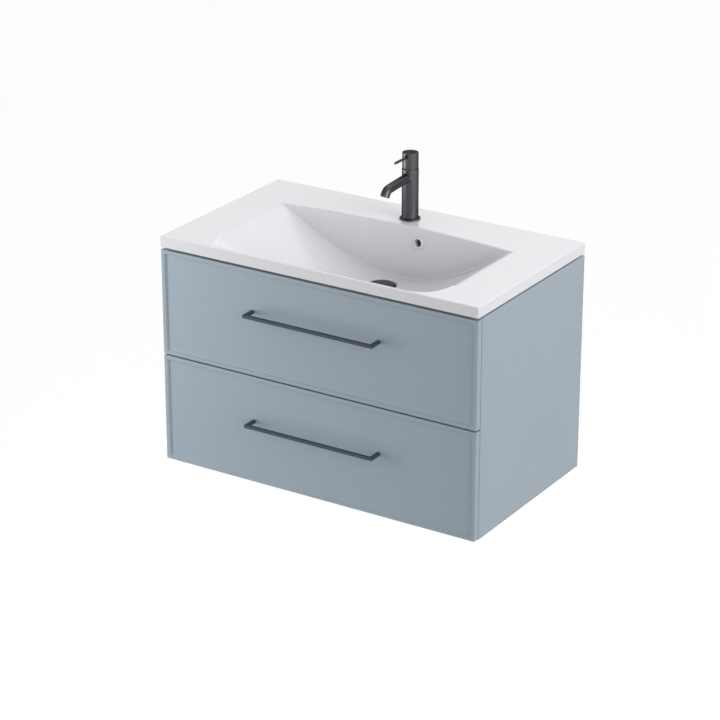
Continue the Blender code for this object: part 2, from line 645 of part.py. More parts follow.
def make_tap_base(mats):
    """Base ring and gasket on the deck, and the mixing cartridge in the top of the body."""
    low, high, inner = SLAB_TOP + GAP, SLAB_TOP + TAP_BASE_HEIGHT, TAP_BASE_INNER
    centre = (0, TAP_Y, 0)
    turned("tap_base_ring", [
        (inner, low + 0.0014), (GASKET_RADIUS + 0.0004, low + 0.0014), (GASKET_RADIUS + 0.0004, low),
        (TAP_BASE_RADIUS, low), (TAP_BASE_RADIUS, low + 0.0020), (TAP_BASE_RADIUS - 0.0010, high - 0.0004),
        (TAP_BASE_RADIUS - 0.0025, high), (inner, high),
    ], centre, mats["gunmetal"], FINE_ROUND)
    ring("tap_gasket", GASKET_RADIUS, GASKET_RADIUS - 0.0024, low, low + 0.0011, centre, mats["rubber"])
    collar = TAP_SPLIT_Z + GAP
    turned("tap_cartridge", [
        (0, CARTRIDGE_LOW), (CARTRIDGE_RADIUS, CARTRIDGE_LOW), (CARTRIDGE_RADIUS, collar), (0.0156, collar),
        (0.0156, collar + 0.0010), (0.0125, collar + 0.0010), (0.0125, 0.2260), (0.0060, 0.2260),
        (0.0060, 0.2355), (0, 0.2355),
    ], centre, mats["cartridge"])


def make_tap_fixing(mats):
    """Under the deck: the stud, the crescent plate and the nut that clamp the tap."""
    rod("tap_stud", STUD_RADIUS, STUD_LOW, STUD_TOP, (0, STUD_Y, 0), mats["zinc"], FEW_SIDES)
    plate_top = SLAB_TOP - DECK_THICKNESS - GAP
    plate_low = plate_top - PLATE_THICKNESS
    crescent = arc((0, TAP_Y), 0.0225, 190, 350, 12) + arc((0, TAP_Y), 0.0065, 350, 190, 8)
    plate = prism("tap_clamp_plate", crescent, plate_low, plate_top, material=mats["zinc"])
    cut(plate, rod("cutter_plate_hole", STUD_RADIUS + GAP, 0.06, 0.09, (0, STUD_Y, 0), sides=FEW_SIDES))
    hexagon = arc((0, STUD_Y), TAP_NUT_RADIUS, 0, 300, 5)
    nut = prism("tap_nut", hexagon, plate_low - GAP - TAP_NUT_HEIGHT, plate_low - GAP, material=mats["brass"])
    cut(nut, rod("cutter_nut_hole", STUD_RADIUS + GAP, 0.05, 0.09, (0, STUD_Y, 0), sides=FEW_SIDES))


def make_tap_head(mats):
    """The turning head with its slot, and the pin lever that tilts in it."""
    low, inner, roof = TAP_SPLIT_Z + TAP_SPLIT, HEAD_RADIUS - HEAD_WALL, HEAD_TOP - HEAD_ROOF
    head = turned("tap_head", [
        (0, roof), (inner, roof), (inner, low),
        (HEAD_RADIUS, low), (HEAD_RADIUS, HEAD_TOP - 0.0014), (HEAD_RADIUS - 0.0004, HEAD_TOP - 0.0004),
        (HEAD_RADIUS - 0.0014, HEAD_TOP), (0, HEAD_TOP),
    ], (0, TAP_Y, 0), mats["gunmetal"], FINE_ROUND)
    slot = box("cutter_lever_slot", (-SLOT_HALF_WIDTH, TAP_Y - 0.022, LEVER_Z - SLOT_HALF_WIDTH),
               (SLOT_HALF_WIDTH, TAP_Y - 0.010, LEVER_Z + SLOT_ABOVE_LEVER))
    cut(head, slot)
    axis_point = (0, TAP_Y, LEVER_Z)
    lever = rod("tap_lever", LEVER_RADIUS, 0, TAP_Y - LEVER_TIP_Y, axis_point, mats["gunmetal"], FEW_SIDES)
    lever.rotation_euler = (math.pi / 2, 0, 0)
    half = HUB_HALF_LENGTH
    join(lever, rod("tap_lever_hub", HUB_RADIUS, -half, half, axis_point, sides=FEW_SIDES, axis="X"))
    turning = pivot("tap_turn_axis", (0, TAP_Y, low))
    carry(turning, [head])
    lifting = pivot("lever_lift_axis", axis_point, turning)
    carry(lifting, [lever])


# ---------------------------------------------------------------- waste and trap
def make_waste(mats):
    """Waste flange with its tube, the washer and nut that clamp it, and the push plug."""
    dark, centre = mats["waste_metal"], (0, WASTE_Y, 0)
    seat, tube, bore, rim = WASTE_SEAT_Z + GAP, WASTE_TUBE_RADIUS, WASTE_TUBE_BORE, WASTE_FLANGE_RADIUS
    body = turned("waste_body", [
        (bore, WASTE_TUBE_LOW), (tube, WASTE_TUBE_LOW), (tube, seat), (rim, seat), (rim, -0.0272),
        (rim - 0.001, -0.0262), (0.0305, -0.0262), (0.0295, -0.0285), (0.0200, -0.0290), (bore, -0.0300),
    ], centre, dark, FINE_ROUND)
    reach = bore + 0.0003
    join(body, box("waste_bridge", (-reach, WASTE_Y - 0.004, -0.062), (reach, WASTE_Y + 0.004, -0.056)))
    cut(body, rod("cutter_plug_guide", PLUG_STEM_RADIUS + GAP, -0.07, -0.05, centre, sides=FEW_SIDES))
    cut(body, box("cutter_overflow_slots", (-0.03, WASTE_Y - 0.006, -0.044), (0.03, WASTE_Y + 0.006, -0.036)))
    plug = turned("waste_plug", [
        (0, -0.0640), (PLUG_STEM_RADIUS, -0.0640), (PLUG_STEM_RADIUS, -0.0280), (0.0270, -0.0280),
        (0.0285, -0.0265), (0.0290, -0.0240), (0.0280, -0.0228), (0.0250, -0.0222), (0, -0.0218),
    ], centre, dark, FINE_ROUND)
    carry(pivot("plug_axis", centre), [plug])
    washer_top = BOSS_BOTTOM - GAP
    washer_low = washer_top - 0.004
    nut_top = washer_low - GAP
    ring("waste_washer", 0.031, tube + GAP, washer_low, washer_top, centre, mats["rubber"])
    ring("waste_nut", 0.029, tube + GAP, nut_top - 0.008, nut_top, centre, mats["trap_plastic"])


def make_trap(mats):
    """Bottle trap under the waste: coupling nut, dip tube, body with its spigot, and cup."""
    plastic, centre = mats["trap_plastic"], (0, WASTE_Y, 0)
    wide, narrow = WASTE_TUBE_RADIUS + GAP, PIPE_RADIUS + GAP
    turned("trap_coupling_nut", [
        (narrow, -0.106), (0.0245, -0.106), (0.0262, -0.103), (0.0262, -0.082), (wide, -0.082), (wide, -0.0885),
        (narrow, -0.0885),
    ], centre, plastic)
    ring("trap_dip_tube", PIPE_RADIUS, PIPE_RADIUS - PIPE_WALL, -0.180, -0.0865, centre, plastic)
    body = turned("trap_body", [
        (narrow, -0.1075), (0.0240, -0.1075), (0.0240, -0.1230), (0.0310, -0.1310), (0.0310, -0.1660),
        (0.0280, -0.1660), (0.0280, -0.1340), (narrow, -0.1270),
    ], centre, plastic)
    outlet = (0, WASTE_Y, TRAP_OUTLET_Z)
    join(body, rod("trap_spigot", SPIGOT_RADIUS, 0.0285, SPIGOT_END, outlet, axis="Y"))
    cut(body, rod("cutter_spigot", narrow, 0.0200, 0.0600, outlet, axis="Y"))
    turned("trap_cup", [
        (0, -0.2080), (0.0180, -0.2080), (0.0265, -0.2030), (0.0300, -0.1950), (0.0300, -0.1663),
        (0.0277, -0.1663), (0.0277, -0.1616), (0.0252, -0.1616), (0.0252, -0.1930), (0.0150, -0.2040),
        (0, -0.2050),
    ], centre, plastic)


def make_outlet(mats):
    """The trap's outlet nut, the pipe to the wall and the collar round it."""
    plastic, outlet = mats["trap_plastic"], (0, WASTE_Y, TRAP_OUTLET_Z)
    narrow, wide, wall = PIPE_RADIUS + GAP, SPIGOT_RADIUS + GAP, -WASTE_Y - GAP
    turned("trap_outlet_nut", [
        (narrow, 0.066), (0.0235, 0.066), (0.0250, 0.063), (0.0250, 0.045), (wide, 0.045),
        (wide, SPIGOT_END + 0.0005), (narrow, SPIGOT_END + 0.0005),
    ], outlet, plastic, axis="Y")
    ring("trap_outlet_pipe", PIPE_RADIUS, PIPE_RADIUS - PIPE_WALL, 0.0540, wall, outlet, plastic, axis="Y")
    turned("wall_escutcheon", [
        (narrow, wall), (narrow, wall - 0.009), (0.0200, wall - 0.009), (0.0290, wall - 0.006),
        (0.0350, wall - 0.001), (0.0350, wall),
    ], outlet, plastic, axis="Y")


# ---------------------------------------------------------------- drawers
def make_front(name, low_z, high_z, mats):
    """A drawer front with a raised border round a recessed field."""
    half = FRONT_WIDTH / 2
    front = box(name, (-half, -DEPTH, low_z), (half, BOARD - DEPTH, high_z), mats["lacquer"])
    soften(front, EDGE_ROUND, 2)
    field = rounded_rectangle((BORDER - half, low_z + BORDER), (half - BORDER, high_z - BORDER), RECESS_CORNER)
    cut(front, prism(f"cutter_{name}_field", field, -DEPTH - 0.01, -DEPTH + RECESS, "Y"))
    return front


def make_handle(name, z, mats):
    """A square bar bent back to the front at both ends."""
    half, bar = HANDLE_LENGTH / 2, HANDLE_BAR
    foot = RECESS - DEPTH - GAP
    face = RECESS - DEPTH - HANDLE_PROJECTION
    outline = [
        (-half, foot), (-half, face), (half, face), (half, foot),
        (half - bar, foot), (half - bar, face + bar), (bar - half, face + bar), (bar - half, foot),
    ]
    handle = prism(name, outline, z - bar / 2, z + bar / 2, material=mats["handle_metal"])
    soften(handle, PANEL_ROUND, 2)
    return handle


def make_drawer_sides(prefix, low_z, high_z, material):
    """The two long sides of a drawer box."""
    inner = DRAWER_SIDE_X - DRAWER_BOARD
    pieces = []
    for name, side in (("left", -1), ("right", 1)):
        low_x, high_x = sorted((side * inner, side * DRAWER_SIDE_X))
        low, high = (low_x, DRAWER_FRONT_Y, low_z), (high_x, DRAWER_BACK_Y, high_z)
        pieces.append(box(f"{prefix}_side_{name}", low, high, material))
    return pieces


def make_upper_drawer(mats):
    """The upper drawer, notched from the back to clear the trap."""
    board, back = mats["drawer_board"], DRAWER_BACK_Y
    low_z, high_z = UPPER_BOX_LOW, UPPER_BOX_HIGH
    pieces = [make_front("upper_front", FRONT_SPLIT_Z + FRONT_SPLIT / 2, UPPER_FRONT_TOP, mats)]
    pieces.append(make_handle("upper_handle", UPPER_HANDLE_Z, mats))
    pieces += make_drawer_sides("upper", low_z, high_z, board)
    reach, notch = DRAWER_REACH, NOTCH_HALF_WIDTH
    guard, guard_front = notch + DRAWER_BOARD, NOTCH_FRONT_Y - DRAWER_BOARD
    clear = guard + GAP
    outline = [
        (-reach, DRAWER_FRONT_Y), (reach, DRAWER_FRONT_Y), (reach, back), (clear, back),
        (clear, guard_front - GAP), (-clear, guard_front - GAP), (-clear, back), (-reach, back),
    ]
    bottom_low = low_z + BOTTOM_RISE
    bottom_high = bottom_low + DRAWER_BOTTOM
    pieces.append(prism("upper_bottom", outline, bottom_low, bottom_high, material=board))
    for name, side in (("left", -1), ("right", 1)):
        low_x, high_x = sorted((side * (clear + GAP), side * reach))
        low, high = (low_x, back - DRAWER_BOARD, bottom_high + GAP), (high_x, back, high_z)
        pieces.append(box(f"upper_back_{name}", low, high, board))
    guard_outline = [
        (-guard, back), (-guard, guard_front), (guard, guard_front), (guard, back),
        (notch, back), (notch, NOTCH_FRONT_Y), (-notch, NOTCH_FRONT_Y), (-notch, back),
    ]
    pieces.append(prism("upper_trap_guard", guard_outline, low_z, high_z, material=board))
    return pieces


def make_lower_drawer(mats):
    """The lower drawer, a plain box."""
    board, back = mats["drawer_board"], DRAWER_BACK_Y
    low_z, high_z = LOWER_BOX_LOW, LOWER_BOX_HIGH
    pieces = [make_front("lower_front", LOWER_FRONT_BOTTOM, FRONT_SPLIT_Z - FRONT_SPLIT / 2, mats)]
    pieces.append(make_handle("lower_handle", LOWER_HANDLE_Z, mats))
    pieces += make_drawer_sides("lower", low_z, high_z, board)
    reach = DRAWER_REACH
    bottom_low = low_z + BOTTOM_RISE
    bottom_high = bottom_low + DRAWER_BOTTOM
    pieces.append(box("lower_bottom", (-reach, DRAWER_FRONT_Y, bottom_low), (reach, back, bottom_high), board))
    back_low = bottom_high + GAP
    pieces.append(box("lower_back", (-reach, back - DRAWER_BOARD, back_low), (reach, back, high_z), board))
    return pieces


def channel(name, side, edges, half_height, z, material):
    """A folded steel channel: an upright web, and a flange at its top and bottom as far as the lip."""
    web_x, lip_x = edges
    inward = RUNNER_SHEET if lip_x > web_x else -RUNNER_SHEET
    outline = [
        (web_x, -half_height), (lip_x, -half_height), (lip_x, RUNNER_SHEET - half_height),
        (web_x + inward, RUNNER_SHEET - half_height), (web_x + inward, half_height - RUNNER_SHEET),
        (lip_x, half_height - RUNNER_SHEET), (lip_x, half_height), (web_x, half_height),
    ]
    placed = [(side * x, z + height) for x, height in outline]
    return prism(name, placed, RUNNER_FRONT_Y, RUNNER_BACK_Y, "Y", material)


def make_runners(prefix, z, mats, drawer_pieces):
    """Left and right runners of a drawer: outer member fixed, middle at half travel, inner on the drawer."""
    steel = mats["zinc"]
    for name, side in (("left", -1), ("right", 1)):
        stem = f"{prefix}_runner_{name}"
        channel(f"{stem}_outer", side, OUTER_MEMBER_X, 0.0225, z, steel)
        middle = channel(f"{stem}_middle", side, MIDDLE_MEMBER_X, 0.0195, z, steel)
        carry(pivot(f"{stem}_axis", (side * DRAWER_SIDE_X, RUNNER_FRONT_Y, z)), [middle])
        drawer_pieces.append(channel(f"{stem}_inner", side, INNER_MEMBER_X, 0.0160, z, steel))


def make_drawers(mats):
    """Both drawers with their runners, each carried by an empty that slides along -Y."""
    plans = (("upper", make_upper_drawer, UPPER_RUNNER_Z), ("lower", make_lower_drawer, LOWER_RUNNER_Z))
    for prefix, make, runner_z in plans:
        pieces = make(mats)
        make_runners(prefix, runner_z, mats, pieces)
        carry(pivot(f"{prefix}_drawer_axis", (0, -DEPTH, runner_z)), pieces)


def main():
    for thing in list(bpy.data.objects):
        bpy.data.objects.remove(thing, do_unlink=True)
    mats = make_materials()
    make_cabinet(mats)
    make_wall_fixing(mats)
    make_basin(mats)
    make_overflow_ring(mats)
    make_tap_body(mats)
    make_tap_base(mats)
    make_tap_fixing(mats)
    make_tap_head(mats)
    make_waste(mats)
    make_trap(mats)
    make_outlet(mats)
    make_drawers(mats)


main()
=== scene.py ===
"""Looks of a wall-hung bathroom vanity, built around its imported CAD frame.

Metres, +Z up.  The wall is the plane Y = 0, the fronts face -Y and the origin is on the wall rail.
"""
import json
import math

import bmesh
import bpy
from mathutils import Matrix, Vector


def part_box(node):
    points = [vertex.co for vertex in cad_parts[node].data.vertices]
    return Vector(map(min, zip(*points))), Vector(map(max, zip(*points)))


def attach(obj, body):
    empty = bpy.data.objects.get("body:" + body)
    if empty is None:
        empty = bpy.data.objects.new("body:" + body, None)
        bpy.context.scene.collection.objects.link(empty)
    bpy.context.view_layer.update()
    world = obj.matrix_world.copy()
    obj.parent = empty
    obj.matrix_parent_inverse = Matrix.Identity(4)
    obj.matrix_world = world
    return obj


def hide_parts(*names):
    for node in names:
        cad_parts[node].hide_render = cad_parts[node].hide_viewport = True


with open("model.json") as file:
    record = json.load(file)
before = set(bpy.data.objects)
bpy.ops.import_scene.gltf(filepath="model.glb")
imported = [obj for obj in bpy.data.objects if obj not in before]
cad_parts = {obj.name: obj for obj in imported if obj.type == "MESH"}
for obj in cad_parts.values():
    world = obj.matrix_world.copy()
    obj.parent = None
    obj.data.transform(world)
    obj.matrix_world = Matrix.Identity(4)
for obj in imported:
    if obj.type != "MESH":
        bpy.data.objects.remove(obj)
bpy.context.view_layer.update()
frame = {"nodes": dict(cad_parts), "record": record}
BODIES = frame["record"]["behaviour"]["bodies"]
NODE_BODY = {node: body for body, members in BODIES.items() for node in members}
NODE_SLOT = {part["node"]: part["material_slot"] for part in frame["record"]["subparts"]}

# ---------------------------------------------------------------- sizes
SHARP_ANGLE = 40                # degrees; edges sharper than this are shaded as edges
BEVEL_ANGLE = 35                # degrees; edges sharper than this are rounded
CUTTER_REACH = 0.01             # how far a cutter sticks out of what it cuts
FINEST_STEP = 0.00002           # smallest distance between two points of a line

# slab and ledge of the basin
BASIN_LOW, BASIN_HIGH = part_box("basin")
SLAB_TOP = BASIN_HIGH.z
SLAB_BOTTOM = SLAB_TOP - 0.0247
SLAB_ROUND = 0.0028
SLAB_FOOT_ROUND = 0.0008
SHADOW_GAP = 0.005              # height of the ledge that lifts the slab off the cabinet
LEDGE_BOTTOM = SLAB_BOTTOM - SHADOW_GAP
LEDGE_X = BASIN_HIGH.x - 0.0085
LEDGE_FRONT_Y, LEDGE_BACK_Y = -0.439, -0.002
DECK_THICKNESS = 0.013
CERAMIC = 0.012                 # wall thickness of the bowl

# bowl
BOWL_HALF_WIDTH = 0.2925
BOWL_BACK_Y = -0.1155           # back rim of the bowl at x = 0
BOWL_BACK_BOW = 0.022           # how far the back rim curves forward towards both ends
BOWL_FRONT_Y = -0.452
BOWL_CORNER = 0.072             # plan radius of the two front corners
BOWL_FLOOR_Z = -0.025
BOWL_DEPTH = SLAB_TOP - BOWL_FLOOR_Z
BOWL_RAMP_POWER = 1.95          # the floor rises to both sides as |x| to this power
BOWL_FRONT_POWER = 1.9
BOWL_FRONT_RUN = 0.212          # length of the rise to the front lip, where the bowl is deepest
FRONT_RUN_POWER = 0.7           # the run shortens as the bowl's depth to this power
SHORTEST_FRONT_RUN = 0.004
BACK_WALL_LEAN = math.tan(math.radians(5))
RIM_ROUND = 0.0060              # softness of the front rim
RAMP_ROUND = 0.0100             # softness where a ramp meets the deck
RIM_REACH = 0.0040              # run of the round between deck and back wall
RIM_FLARE = 0.0030              # how far the cutter's rim runs out over the deck behind the bowl
TOUCH = 0.00003                 # how far that rim lies above the deck
CREASE_ROUND = 0.0045           # fillet between back wall and floor at both ends of the crease
CREASE_SWELL = 0.008            # four times what the fillet grows by half-way down
OUTSIDE_DROP = 0.012            # from the deck down to where the bowl's outside starts
OUTSIDE_FILLET = 0.012          # fillet between back wall and floor on the outside
OUTSIDE_FRONT_GAP = 0.002       # how far the outside's front edge stays behind the bowl's
THINNEST_OUTSIDE = 0.001        # least depth of the outside, at its two ends

# waste and overflow
WASTE_Y = -0.190
WASTE_CENTRE = (0, WASTE_Y, 0)
WASTE_DIP = 0.0015
WASTE_DIP_RADIUS = 0.060
BOSS_RADIUS, BOSS_BOTTOM, BOSS_TOP = 0.040, -0.048, -0.023
SEAT_RADIUS, SEAT_Z = 0.034, -0.030
WASTE_BORE_RADIUS = 0.0235
OVERFLOW_X = 0.050
OVERFLOW_Z = 0.061
OVERFLOW_RADIUS = 0.0105
OVERFLOW_YAW = -2 * BOWL_BACK_BOW * OVERFLOW_X / BOWL_HALF_WIDTH ** 2
DUCT_Y = -0.0993
DUCT_HALF_WIDTH, DUCT_HALF_DEPTH = 0.014, 0.0075
DUCT_WALL = 0.007
DUCT_BOTTOM, DUCT_TOP = -0.042, 0.072
DUCT_RUN_HALF_LENGTH, DUCT_RUN_HALF_WIDTH = 0.057, 0.016
DUCT_RUN_BOTTOM, DUCT_RUN_TOP = -0.0465, -0.027

# drawer fronts and handles
FRONT_ROUND = 0.0011            # outer edge of a front
FRONT_BACK_ROUND = 0.0008
FRONT_CORNER = 0.0008
BORDER = 0.0080                 # raised border of a front
BORDER_NOSE = 0.0007            # round on the border's inner edge
BORDER_STEP = 0.0002            # the slight slope of the step down from the border
RECESS = 0.0035                 # depth of a front's recessed field
COVE = 0.0022                   # round between the border and the field
FIELD_EDGE = 0.004              # flat strip of the field beside the cove
FIELD_CORNER, SMALLEST_FIELD_CORNER = 0.0065, 0.0030
HANDLE_ROUND = 0.0009

# tap
TAP_Y = -0.0720
TAP_CENTRE = (0, TAP_Y, 0)
TAP_HOLE_RADIUS = 0.0172
BASE_RING_BORE, GASKET_BORE = 0.0175, 0.0176
CARTRIDGE_SEAT_RADIUS, CARTRIDGE_SEAT_Z = 0.0146, 0.1750
MIXING_BORE_RADIUS, MIXING_BORE_Z = 0.0110, 0.1110
SPOUT_RADIUS = 0.0103
SPOUT_FLARE = 0.0018            # how much the spout widens where it leaves the column
SPOUT_BORE_RADIUS = 0.0074
SPOUT_Z = 0.1945
SPOUT_SLOPE = math.radians(3.5)
SPOUT_END_SLOPE = math.radians(62)
SPOUT_BEND_Y = -0.160
SPOUT_BEND_RADIUS = 0.020
SPOUT_END_RUN = 0.0035
MOUTH_RADIUS = 0.0089
MOUTH_DEPTH = 0.0065
HEAD_WALL, HEAD_ROOF = 0.0030, 0.0024
LEVER_Z = 0.2407
LEVER_RADIUS = 0.0030
LEVER_HUB_RADIUS, LEVER_HUB_HALF_LENGTH = 0.0038, 0.008
SLOT_HALF_WIDTH, SLOT_BELOW, SLOT_ABOVE = 0.0034, 0.0034, 0.0059
STUD_Y = TAP_Y - 0.0122
STUD_RADIUS, THREAD_PITCH, THREAD_DEPTH = 0.0037, 0.0012, 0.0003
NUT_RADIUS, NUT_BORE_RADIUS = 0.0075, 0.0040

# waste and trap pieces
WASTE_TUBE_RADIUS, WASTE_TUBE_BORE, WASTE_TUBE_LOW = 0.0210, 0.0185, -0.085
WASTE_CLEARANCE = 0.0213        # bore of the washer and the nuts round the waste tube
PIPE_RADIUS, PIPE_BORE = 0.0160, 0.0145
PIPE_CLEARANCE = 0.0163         # bore of the pieces that a pipe runs through
RIB_DEPTH = 0.0010              # depth of the grooves between the ribs of a nut or cup
TRAP_OUTLET = (0, WASTE_Y, -0.145)
WALL_REACH = -WASTE_Y - 0.0003  # from the trap's axis to the wall
BACKWARDS = (0, 1, 0)

# edge rounding of the CAD nodes that still show
CAD_ROUND = 0.0004
PANEL_ROUND = 0.0006
CAD_EDGES = {
    "side_panel_left": PANEL_ROUND, "side_panel_right": PANEL_ROUND, "bottom_panel": PANEL_ROUND,
    "hanging_board": PANEL_ROUND, "lower_board": PANEL_ROUND,
    "hanger_left": PANEL_ROUND, "hanger_right": PANEL_ROUND, "tap_clamp_plate": 0.0003,
}

# ---------------------------------------------------------------- colours
LACQUER_COLOUR = (0.318, 0.380, 0.433)
CERAMIC_COLOUR = (0.722, 0.720, 0.753)
GUNMETAL_COLOUR = (0.108, 0.106, 0.113)
HANDLE_COLOUR = (0.036, 0.053, 0.074)
WASTE_COLOUR = (0.045, 0.045, 0.050)
BOARD_COLOUR = (0.46, 0.465, 0.47)
ZINC_COLOUR = (0.52, 0.53, 0.54)
BRASS_COLOUR = (0.55, 0.40, 0.17)
TRAP_COLOUR = (0.78, 0.78, 0.77)
RUBBER_COLOUR = (0.025, 0.025, 0.026)
CARTRIDGE_COLOUR = (0.55, 0.55, 0.52)
FLOOR_COLOUR = (0.97, 0.97, 0.97)

# ---------------------------------------------------------------- stage
FLOOR_Z = -2.5                  # far below, so that the hung cabinet throws no visible shadow on it
FLOOR_HALF_SIZE = 60.0
FLOOR_GLOW = 0.197
WORLD_STRENGTH = 0.15
BROAD_LIGHTS = (                # name, where it comes from, angle it fills in degrees, strength
    ("light_behind", (-0.2, 0.8, 0.7), 80.0, 1.54),
    ("light_above", (0.0, 0.0, 1.0), 120.0, 0.35),
    ("light_right", (1.0, -0.3, 0.1), 60.0, 2.48),
    ("light_front_right", (0.7, -1.0, 0.8), 90.0, 0.54),
)
SOFT_BOXES = (                  # name, place, target, size, power
    ("softbox_left", (-1.5, -1.2, 0.2), (-0.2, -0.46, -0.1), (0.9, 0.9), 12.3),
    ("softbox_left_low", (-3.2, -2.0, -0.5), (-0.2, -0.46, -0.1), (1.4, 1.4), 51.4),
    ("softbox_right", (1.2, -0.2, 0.9), (0.3, -0.2, 0.0), (0.8, 0.8), 3.6),
)
CAMERA_PLACE = (2.8798, -4.8163, 2.0486)
CAMERA_TARGET = (-0.0309, -0.2300, -0.1963)
CAMERA_LENS = 132.57            # mm, on a sensor 36 mm wide
CAMERA_REACH = 200.0            # beyond the far edge of the floor


# ---------------------------------------------------------------- mesh helpers
def finish_mesh(name, mesh_data, sharp_angle=SHARP_ANGLE):
    """Name a bmesh, face it outwards, shade it smooth and split it along its sharp edges."""
    bmesh.ops.recalc_face_normals(mesh_data, faces=mesh_data.faces)
    mesh = bpy.data.meshes.new(name)
    mesh_data.to_mesh(mesh)
    mesh_data.free()
    mesh.shade_smooth()
    mesh.set_sharp_from_angle(angle=math.radians(sharp_angle))
    piece = bpy.data.objects.new(name, mesh)
    bpy.context.scene.collection.objects.link(piece)
    return piece


def bake_modifiers(piece):
    """Replace a piece's mesh by what its modifiers make of it."""
    bpy.context.view_layer.update()
    evaluated = piece.evaluated_get(bpy.context.evaluated_depsgraph_get())
    mesh = bpy.data.meshes.new_from_object(evaluated)
    piece.modifiers.clear()
    piece.data = mesh
    mesh.shade_smooth()
    mesh.set_sharp_from_angle(angle=math.radians(SHARP_ANGLE))


def combine(piece, operation, tools):
    """Apply one boolean operation with each of the tools, then throw the tools away."""
    for tool in tools:
        modifier = piece.modifiers.new("combine", "BOOLEAN")
        modifier.operation = operation
        modifier.solver = "EXACT"
        modifier.object = tool
    bake_modifiers(piece)
    for tool in tools:
        bpy.data.objects.remove(tool, do_unlink=True)


def cut(piece, *tools):
    """Cut tools out of a piece."""
    combine(piece, "DIFFERENCE", tools)


def join(piece, *tools):
    """Fuse tools on a piece."""
    combine(piece, "UNION", tools)


def even_normals(piece):
    """Keep big flat faces flat beside small rounded edges."""
    modifier = piece.modifiers.new("even_normals", "WEIGHTED_NORMAL")
    modifier.keep_sharp = True


def soften(piece, width, segments=2):
    """Round a piece's sharp edges."""
    modifier = piece.modifiers.new("edge_round", "BEVEL")
    modifier.width = width
    modifier.segments = segments
    modifier.limit_method = "ANGLE"
    modifier.angle_limit = math.radians(BEVEL_ANGLE)
    even_normals(piece)


def add(piece, node, material):
    """Add a detail piece that moves with a CAD node's body and has its slot."""
    piece.data.materials.clear()
    piece.data.materials.append(material)
    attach(piece, NODE_BODY[node])


def place(piece, node, material):
    """Let a piece stand for a CAD node: same body, same slot."""
    add(piece, node, material)
    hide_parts(node)


def loft(name, loops, sharp_angle=SHARP_ANGLE):
    """A closed skin over loops of points, all with the same number of points."""
    mesh_data = bmesh.new()
    rows = [[mesh_data.verts.new(point) for point in loop] for loop in loops]
    for first, second in zip(rows, rows[1:]):
        for i in range(len(first)):
            j = (i + 1) % len(first)
            mesh_data.faces.new((first[i], first[j], second[j], second[i]))
    mesh_data.faces.new(rows[0])
    mesh_data.faces.new(rows[-1])
    return finish_mesh(name, mesh_data, sharp_angle)


def lathe(name, profile, centre, sides=64):
    """A turned piece from (radius, height) points round a vertical axis."""
    mesh_data = bmesh.new()
    rows = []
    for radius, height in profile:
        steps = sides if radius > 0 else 1
        row = []
        for i in range(steps):
            angle = 2 * math.pi * i / sides
            x, y = centre[0] + radius * math.cos(angle), centre[1] + radius * math.sin(angle)
            row.append(mesh_data.verts.new((x, y, centre[2] + height)))
        rows.append(row)
    pairs = list(zip(rows, rows[1:]))
    if len(rows[0]) > 1 or len(rows[-1]) > 1:
        pairs.append((rows[-1], rows[0]))
    for first, second in pairs:
        for i in range(sides):
            j = (i + 1) % sides
            if len(first) == 1:
                mesh_data.faces.new((first[0], second[j], second[i]))
            elif len(second) == 1:
                mesh_data.faces.new((first[i], first[j], second[0]))
            else:
                mesh_data.faces.new((first[i], first[j], second[j], second[i]))
    return finish_mesh(name, mesh_data)


def ring_section(bore, radius, low, high):
    """The (radius, height) corners of a plain ring."""
    return [(bore, low), (radius, low), (radius, high), (bore, high)]


def drill(name, radius, low, high, centre, sides=64):
    """A plain upright rod between two heights, used as a cutter."""
    return lathe(name, ring_section(0, radius, low, high), centre, sides)


def rounded(profile, radius, steps=4):
    """A closed profile with its corners rounded; corners on the axis stay as they are."""
    points = [Vector(point) for point in profile]
    result = []
    for i, corner in enumerate(points):
        if corner.x == 0:
            result.append(tuple(corner))
            continue
        before, after = points[i - 1], points[(i + 1) % len(points)]
        reach = min(radius, (before - corner).length * 0.45, (after - corner).length * 0.45)
        start = corner + (before - corner).normalized() * reach
        end = corner + (after - corner).normalized() * reach
        result += [tuple(point) for point in curve_between(start, corner, end, steps) + [end]]
    return result


def soft_ring(node, bore, radius, steps):
    """The profile of a ring as high and wide as a CAD node, with its corners rounded."""
    low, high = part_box(node)
    return rounded(ring_section(bore, high.x, low.z, high.z), radius, steps)


def curve_between(start, corner, end, steps):
    """Points of a soft corner, without its end point."""
    points = []
    for i in range(steps):
        t = i / steps
        points.append(start * (1 - t) ** 2 + corner * 2 * t * (1 - t) + end * t ** 2)
    return points


def quarter(steps):
    """(sine, cosine) pairs of evenly spaced angles from 0 to 90 degrees."""
    angles = [math.radians(90 * i / steps) for i in range(steps + 1)]
    return [(math.sin(angle), math.cos(angle)) for angle in angles]


def rounded_rectangle(low_a, high_a, low_b, high_b, radius):
    """(a, b) points round a rectangle with round corners."""
    low_a, high_a, low_b, high_b = low_a + radius, high_a - radius, low_b + radius, high_b - radius
    corners = ((high_a, high_b), (low_a, high_b), (low_a, low_b), (high_a, low_b))
    points = []
    for turns, (a, b) in enumerate(corners):
        for i in range(7):
            angle = math.radians(90 * turns + 15 * i)
            points.append((a + radius * math.cos(angle), b + radius * math.sin(angle)))
    return points


def sweep(name, path, radii, sides):
    """A round solid along a path in the plane x = 0."""
    across = Vector((1, 0, 0))
    loops = []
    for k, point in enumerate(path):
        way = (path[min(k + 1, len(path) - 1)] - path[max(k - 1, 0)]).normalized()
        up = way.cross(across)
        loop = []
        for i in range(sides):
            angle = 2 * math.pi * i / sides
            loop.append(point + radii[k] * (math.cos(angle) * across + math.sin(angle) * up))
        loops.append(loop)
    return loft(name, loops, 50)


